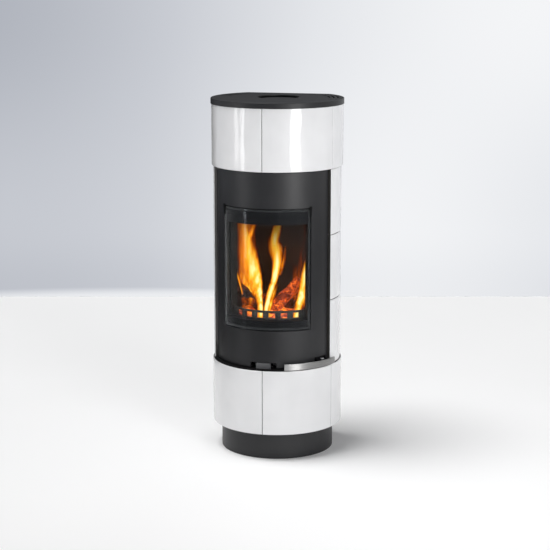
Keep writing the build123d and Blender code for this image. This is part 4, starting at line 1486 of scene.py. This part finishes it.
@dataclass(frozen=True)
class FlameTongue:
    """One sheet of flame through control points (x, z, half width, y) in millimetres.

    edge moves the hottest line across the sheet, from -1 at its left to 1. heat
    is the warmth of that line, which starts at the share root at the foot, grows
    at the rate of kindling and loses the share cooling to the tip. fade is the
    power by which the sides cool. cup bends the sheet, and waver shakes it.
    """

    name: str
    points: tuple[tuple[float, float, float, float], ...]
    edge: float = 0.0
    heat: float = 1.0
    root: float = 0.6
    kindling: float = 5.0
    cooling: float = 0.25
    fade: float = 1.6
    cup: float = 10.0
    waver: float = 3.0
    waver_repeats: float = 4.0
    look: float = 0.02  # share of its length over which the sheet's direction is taken
    rows: int = 40
    columns: int = 13

    def warmth(self, share: float, along: float) -> float:
        """Find the heat at a place on the sheet, which fades to its sides, root and tip.

        Args:
            share: Place across the sheet, from -1 at its left to 1.
            along: Place along the sheet from 0 to 1.

        Returns:
            The heat, 0 at the sides.
        """
        reach = 1 + self.edge if share < self.edge else 1 - self.edge
        side = 1 - (abs(share - self.edge) / reach) ** self.fade
        foot = min(1.0, along * self.kindling + self.root)
        return side * self.heat * foot * (1 - self.cooling * along**2)

    def build(self) -> bpy.types.Object:
        """Make the sheet with its heat in the UV map.

        Returns:
            The sheet.
        """
        points: list[Vector] = []
        coordinates: list[tuple[float, float]] = []
        for row in range(self.rows):
            along = row / (self.rows - 1)
            across, level, half, depth = spline(self.points, along)
            ahead = spline(self.points, min(along + self.look, 1.0))
            behind = spline(self.points, max(along - self.look, 0.0))
            run = Vector((ahead[0] - behind[0], ahead[1] - behind[1])).normalized()
            for column in range(self.columns):
                share = 2 * column / (self.columns - 1) - 1
                spot = Vector((along * self.waver_repeats, share, self.points[0][0]))
                shake = self.waver * noise.noise(spot)
                place = Vector(
                    (
                        across + run.y * share * half,
                        depth + self.cup * (share**2 - 0.5) + shake,
                        level - run.x * share * half,
                    )
                )
                points.append(place * MM)
                coordinates.append((self.warmth(share, along), along))
        faces = grid_faces(self.rows, self.columns, False)
        piece = add_piece(self.name, points, faces, FLAME, Body.STOVE)
        piece.visible_shadow = False
        layer = piece.data.uv_layers.new(name="heat")
        for loop in piece.data.loops:
            layer.data[loop.index].uv = coordinates[loop.vertex_index]
        return piece


@dataclass(frozen=True)
class EmberBed:
    """A closed heap of ash and embers on the hearth, in millimetres.

    Its height has an even share and lumps, each by its share and by how often
    it repeats in a millimetre.
    """

    radius: float = 150.0
    floor: float = 530.3
    height: float = 16.0
    even: float = 0.5
    lumps: tuple[tuple[float, float], ...] = ((0.6, 0.03), (0.35, 0.09))
    rear: float = 108.0
    rings: int = 22
    columns: int = 72

    def build(self) -> bpy.types.Object:
        """Make the heap, flat at its rim and cut off in front of the back brick.

        Returns:
            The heap.
        """
        points: list[Vector] = []
        for ring in range(self.rings):
            share = ring / (self.rings - 1)
            for column in range(self.columns):
                turn = math.tau * column / self.columns
                place = Vector((math.sin(turn), -math.cos(turn), 0)) * (self.radius * share)
                place.y = min(place.y, self.rear)
                bumps = self.even
                bumps += sum(lump * noise.noise(place * often) for lump, often in self.lumps)
                rise = max(0.0, bumps) * self.height * (1 - share**4)
                points.append(Vector((place.x, place.y, self.floor + rise)) * MM)
        faces = grid_faces(self.rings, self.columns, True)
        rim = (self.rings - 1) * self.columns
        faces.append(tuple(range(rim + self.columns - 1, rim - 1, -1)))
        return add_piece("ember_bed", points, faces, ASH, Body.STOVE)


@dataclass
class Fire(SubAssembly):
    """Logs, embers and flames in the firebox, with the light that they give."""

    bed: EmberBed = EmberBed()
    logs: tuple[Log, ...] = (
        Log("log_right", (-4, -66, 550), (96, -30, 668), 26, 3, GLOWING),
        Log("log_left", (-142, -40, 628), (-30, -66, 552), 27, 11, CHAR, ((90.0, 0.6),)),
        Log("log_back", (-104, 44, 560), (112, 40, 566), 30, 7),
    )
    flames: tuple[FlameTongue, ...] = (
        FlameTongue(
            "flame_left",
            (
                (-38, 528, 14, -134), (-39, 552, 14, -128), (-44, 583, 16, -110), (-60, 615, 25, -80),
                (-81, 656, 40, -55), (-96, 695, 45, -40), (-110, 744, 43, -30), (-124, 797, 38, -24),
                (-138, 846, 31, -20), (-149, 908, 22, -20),
            ),
            edge=0.62,
        ),
        FlameTongue(
            "flame_left_body",
            (
                (-80, 582, 32, -60), (-98, 632, 44, -40), (-112, 690, 50, -20), (-120, 752, 50, -12),
                (-124, 822, 47, -10), (-127, 911, 44, -10),
            ),
            edge=-0.1,
            heat=0.72,
        ),
        FlameTongue(
            "flame_left_fork",
            (
                (-104, 740, 10, -28), (-109, 789, 10, -22), (-105, 824, 13, -16), (-95, 851, 14, -12),
                (-84, 890, 14, -8),
            ),
            edge=0.2,
            heat=0.8,
        ),
        FlameTongue(
            "flame_middle",
            (
                (-14, 528, 12, -134), (-14, 557, 12, -126), (-13, 591, 14, -104), (-8, 625, 16, -80),
                (1, 661, 16, -60), (7, 698, 20, -50), (8, 740, 25, -44), (3, 778, 32, -40),
                (-4, 812, 26, -38), (5, 851, 22, -36), (18, 910, 18, -36),
            ),
            edge=0.15,
            heat=1.2,
        ),
        FlameTongue(
            "flame_middle_low",
            (
                (-4, 530, 6, -124), (-2, 559, 7, -118), (5, 599, 10, -100), (14, 632, 8, -90),
                (23, 659, 3, -84),
            ),
            heat=0.8,
        ),
        FlameTongue(
            "flame_middle_side",
            (
                (18, 679, 8, -30), (29, 722, 9, -26), (35, 760, 8, -22), (39, 799, 4, -20),
            ),
            heat=0.5,
        ),
        FlameTongue(
            "flame_right",
            (
                (104, 530, 20, -120), (106, 554, 21, -118), (112, 589, 22, -104), (117, 628, 23, -84),
                (121, 664, 23, -70), (128, 702, 23, -62), (135, 740, 18, -58), (140, 779, 12, -56),
                (144, 812, 5, -56),
            ),
            heat=1.05,
        ),
        FlameTongue(
            "flame_log_left",
            (
                (-118, 606, 3, -82), (-122, 627, 4, -80), (-131, 658, 6, -78), (-140, 688, 5, -76),
                (-148, 719, 3, -74),
            ),
            heat=0.75,
        ),
        FlameTongue(
            "flame_haze_left",
            (
                (-96, 530, 34, -108), (-94, 572, 36, -90), (-95, 599, 36, -70), (-100, 634, 34, -50),
            ),
            edge=0.2,
            heat=0.42,
        ),
        FlameTongue(
            "flame_back_left",
            (
                (-104, 560, 46, -6), (-110, 640, 52, -4), (-122, 720, 54, 0), (-128, 799, 54, 4),
                (-126, 900, 52, 8),
            ),
            edge=0.3,
            heat=0.52,
        ),
        FlameTongue(
            "flame_back_right",
            (
                (72, 570, 52, 30), (81, 650, 46, 30), (85, 729, 42, 32), (88, 807, 38, 34),
                (91, 909, 33, 36),
            ),
            edge=0.1,
            heat=0.2,
        ),
    )
    light_colour: str = "#FF9A4A"
    light_watts: float = 0.9
    light_radius: float = 0.09
    light_place: Place = (0.0, -0.01, 0.70)

    def finishes(self) -> Mapping[Finish, Sequence[str]]:
        """Return no CAD nodes, because the fire is not part of them."""
        return {}

    def light(self) -> None:
        """Make the glow that the fire throws on the firebox, itself unseen."""
        lamp = bpy.data.lights.new("fire_light", "POINT")
        lamp.energy = self.light_watts
        lamp.color = linear(self.light_colour)[:3]
        lamp.shadow_soft_size = self.light_radius
        light = bpy.data.objects.new("fire_light", lamp)
        light.location = self.light_place
        light.visible_camera = False
        light.visible_transmission = False
        light.visible_glossy = False
        bpy.context.scene.collection.objects.link(light)

    def build(self) -> list[bpy.types.Object]:
        """Make the light, the embers, the logs and the flames.

        Returns:
            The pieces.
        """
        self.light()
        return [piece.build() for piece in (self.bed, *self.logs, *self.flames)]


# ---------------------------------------------------------------- studio
@dataclass(frozen=True)
class Softbox:
    """A rectangular lamp that faces the stove. Its angles are degrees, its sizes metres."""

    name: str
    azimuth: float
    middle: float
    width: float
    height: float
    radiance: float
    aim: float
    spread: float = 60.0
    distance: float = 3.0

    def build(self) -> None:
        """Make the lamp, with its power from its radiance."""
        lamp = bpy.data.lights.new(self.name, "AREA")
        lamp.shape = "RECTANGLE"
        lamp.size, lamp.size_y = self.width, self.height
        lamp.energy = math.pi * self.width * self.height * self.radiance
        lamp.spread = math.radians(self.spread)
        light = bpy.data.objects.new(self.name, lamp)
        place = around(self.distance / MM, self.azimuth, self.middle / MM)
        light.location = place
        light.rotation_euler = (place - Vector((0, 0, self.aim))).to_track_quat("Z", "Y").to_euler()
        bpy.context.scene.collection.objects.link(light)
        LOG.info("%s lights the stove", self.name)


@dataclass(frozen=True)
class BlackFlag:
    """A curved cloth round the stove, by its angles in degrees and its levels in millimetres.

    Only gloss sees it, because in the picture it would stand out of the frame.
    """

    name: str
    first: float
    last: float
    low: float
    top: float
    radius: float = 1300.0
    columns: int = 13

    def build(self) -> None:
        """Hang the cloth."""
        turns = [
            self.first + (self.last - self.first) * column / (self.columns - 1)
            for column in range(self.columns)
        ]
        points = [around(self.radius, turn, level) for level in (self.low, self.top) for turn in turns]
        flag = add_piece(self.name, points, grid_faces(2, self.columns, False), CLOTH, None)
        flag.visible_camera = False
        flag.visible_diffuse = False
        flag.visible_transmission = False
        flag.visible_shadow = False


@dataclass(frozen=True)
class Backdrop:
    """Plain pale air round the stove, as light on it and as the picture's background.

    A direction of length 1 is told by its level, which is how far it rises, and
    by how far it points aside, to the right of the heading. heading is in degrees.
    A span maps the first two values to the last two.
    """

    heading: float
    across: Span = (-0.22, 0.17, 0.0, 1.0)  # it grows paler to the right
    low: Span = (-0.165, -0.03, 1.0, 0.0)  # low down, even and glow come in
    even: Span = (-0.17, 0.17, 0.26, -0.24)
    glow_aside: float = 0.05
    glow: Span = (0.0, 0.14, 0.22, 0.0)  # behind the stove, by the distance from its middle
    dusk: Span = (-0.21, -0.17, -0.10, 0.0)  # dimmer towards the floor
    cove: Span = (-0.2146, -0.203, 0.88, 0.0)  # the floor's tone, just above its end
    side_fill: Span = (-1.0, 1.0, 0.04, 0.70)  # light on the stove, more from the right
    ceiling: Span = (0.0, 1.0, 1.0, 0.2)  # and less from above
    tones: tuple[tuple[float, str], ...] = (
        (0.0, "#AEB2BB"),
        (0.35, "#C9CCD3"),
        (0.7, "#E4E6EA"),
        (1.0, "#F4F5F7"),
    )
    fill_colour: str = "#F4F5F8"

    def tone(self, tree: Tree, aside: Socket, level: Socket) -> Socket:
        """Shade the background that is seen.

        Args:
            tree: Node tree of the world.
            aside: How far the direction points to the right.
            level: How far the direction rises.

        Returns:
            The place between the darkest tone at 0 and the palest at 1.
        """
        add = partial(add_node, tree)
        soft = {"interpolation_type": "SMOOTHSTEP"}
        across, low, dusk, cove = (
            add("ShaderNodeMapRange", soft | {0: way} | dict(enumerate(span, 1))).outputs[0]
            for way, span in (
                (aside, self.across),
                (level, self.low),
                (level, self.dusk),
                (level, self.cove),
            )
        )
        even = add("ShaderNodeMapRange", {0: aside} | dict(enumerate(self.even, 1))).outputs[0]
        from_glow = add(
            "ShaderNodeMath", {"operation": "SUBTRACT", 0: aside, 1: self.glow_aside}
        ).outputs[0]
        apart = add("ShaderNodeMath", {"operation": "ABSOLUTE", 0: from_glow}).outputs[0]
        glow = add(
            "ShaderNodeMapRange", soft | {0: apart} | dict(enumerate(self.glow, 1))
        ).outputs[0]
        change = add("ShaderNodeMath", {"operation": "ADD", 0: even, 1: glow}).outputs[0]
        lower = add(
            "ShaderNodeMath", {"operation": "MULTIPLY_ADD", 0: low, 1: change, 2: dusk}
        ).outputs[0]
        sides = add("ShaderNodeMath", {"operation": "ADD", 0: across, 1: lower}).outputs[0]
        return add("ShaderNodeMath", {"operation": "MAXIMUM", 0: sides, 1: cove}).outputs[0]

    def build(self) -> None:
        """Surround the scene with the air."""
        world = bpy.data.worlds.new("studio_air")
        world.use_nodes = True
        tree = world.node_tree
        tree.nodes.clear()
        add = partial(add_node, tree)
        way = add("ShaderNodeTexCoord").outputs["Generated"]
        turn = math.radians(self.heading)
        right = (math.cos(turn), math.sin(turn), 0.0)
        aside = add(
            "ShaderNodeVectorMath", {"operation": "DOT_PRODUCT", 0: way, 1: right}
        ).outputs["Value"]
        level = add("ShaderNodeSeparateXYZ", {0: way}).outputs[2]
        tone = self.tone(tree, aside, level)
        colour = add("ShaderNodeValToRGB", {0: tone, "stops": self.tones}).outputs[0]
        seen = add("ShaderNodeBackground", {0: colour, 1: 1.0}).outputs[0]
        sideways, above = (
            add("ShaderNodeMapRange", {0: part} | dict(enumerate(span, 1))).outputs[0]
            for part, span in ((aside, self.side_fill), (level, self.ceiling))
        )
        fill = add("ShaderNodeMath", {"operation": "MULTIPLY", 0: sideways, 1: above}).outputs[0]
        soft = add("ShaderNodeBackground", {0: linear(self.fill_colour), 1: fill}).outputs[0]
        both = add("ShaderNodeMixShader", {0: looked_at(tree), 1: soft, 2: seen}).outputs[0]
        add("ShaderNodeOutputWorld", {"Surface": both})
        bpy.context.scene.world = world


@dataclass
class Studio:
    """Camera, floor, background and lamps, in metres and degrees."""

    picture_px: int = 550
    focal_px: float = 1550.3
    sensor_mm: float = 36.0
    distance: float = 5.8738
    height: float = 1.8771
    azimuth: float = 13.264
    heading: float = 13.351
    pitch: float = 11.594
    floor_end: float = 2.67
    floor_reach: float = 9.0
    lamps: tuple[Softbox, ...] = (
        Softbox(
            "strip_left_outer",
            azimuth=-58.5,
            middle=1.36,
            width=0.44,
            height=1.2,
            radiance=0.42,
            aim=1.2,
        ),
        Softbox(
            "strip_left_inner",
            azimuth=-48.0,
            middle=1.07,
            width=0.28,
            height=1.67,
            radiance=0.52,
            aim=1.2,
        ),
        Softbox(
            "softbox_right",
            azimuth=44.0,
            middle=1.33,
            width=0.94,
            height=1.34,
            radiance=2.0,
            aim=0.85,
            spread=80.0,
        ),
    )
    flags: tuple[BlackFlag, ...] = (
        BlackFlag("flag_rear_left", -186.0, -112.0, 20.0, 2300.0),
        BlackFlag("flag_left", -112.0, -52.0, 20.0, 820.0),
        BlackFlag("flag_front", -44.0, 14.0, 20.0, 800.0),
        BlackFlag("flag_right", 62.0, 112.0, 350.0, 800.0),
    )
    window_azimuth: float = -68.0
    window_height: float = 71.0
    window_width: float = 32.0
    window_strength: float = 2.46

    def camera(self) -> None:
        """Make the camera at the picture's viewing angle."""
        data = bpy.data.cameras.new("camera")
        data.sensor_width = self.sensor_mm
        data.lens = self.focal_px * self.sensor_mm / self.picture_px
        eye = bpy.data.objects.new("camera", data)
        eye.location = around(self.distance / MM, self.azimuth, self.height / MM)
        eye.rotation_euler = (math.radians(90 - self.pitch), 0, math.radians(self.heading))
        bpy.context.scene.collection.objects.link(eye)
        bpy.context.scene.camera = eye
        LOG.info("camera looks from %.2f degrees", self.azimuth)

    def floor(self) -> None:
        """Lay the floor, which ends behind the stove where the background starts."""
        turn = Matrix.Rotation(math.radians(self.heading), 3, "Z")
        reach = self.floor_reach
        corners = (
            (-reach, -reach, 0),
            (reach, -reach, 0),
            (reach, self.floor_end, 0),
            (-reach, self.floor_end, 0),
        )
        add_piece("floor", [turn @ Vector(corner) for corner in corners], [(0, 1, 2, 3)], FLOOR, None)

    def high_window(self) -> None:
        """Make the broad daylight from the upper left that casts the shadow."""
        lamp = bpy.data.lights.new("high_window", "SUN")
        lamp.energy = self.window_strength
        lamp.angle = math.radians(self.window_width)
        light = bpy.data.objects.new("high_window", lamp)
        towards = around(1.0, self.window_azimuth, math.tan(math.radians(self.window_height)))
        light.rotation_euler = towards.to_track_quat("Z", "Y").to_euler()
        bpy.context.scene.collection.objects.link(light)

    def build(self) -> None:
        """Make the whole studio."""
        self.camera()
        self.floor()
        self.high_window()
        for flag in self.flags:
            flag.build()
        Backdrop(self.heading).build()
        for lamp in self.lamps:
            lamp.build()
        bpy.context.scene.view_settings.view_transform = "Standard"


def main() -> None:
    """Build the studio, dress the stove and add the scene's own pieces."""
    logging.basicConfig(level=logging.INFO, format="%(name)s: %(message)s")
    Studio().build()
    dressed: set[str] = set()
    for assembly in (TileCladding(), Housing(), Firebox(), Door(), Fire()):
        dressed |= assembly.dress()
        made = assembly.build()
        LOG.info("%s added %d pieces", type(assembly).__name__, len(made))
    bare = sorted(set(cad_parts) - dressed)
    if bare:
        raise ValueError(f"nodes without a finish: {bare}")


if __name__ == "__main__":
    main()
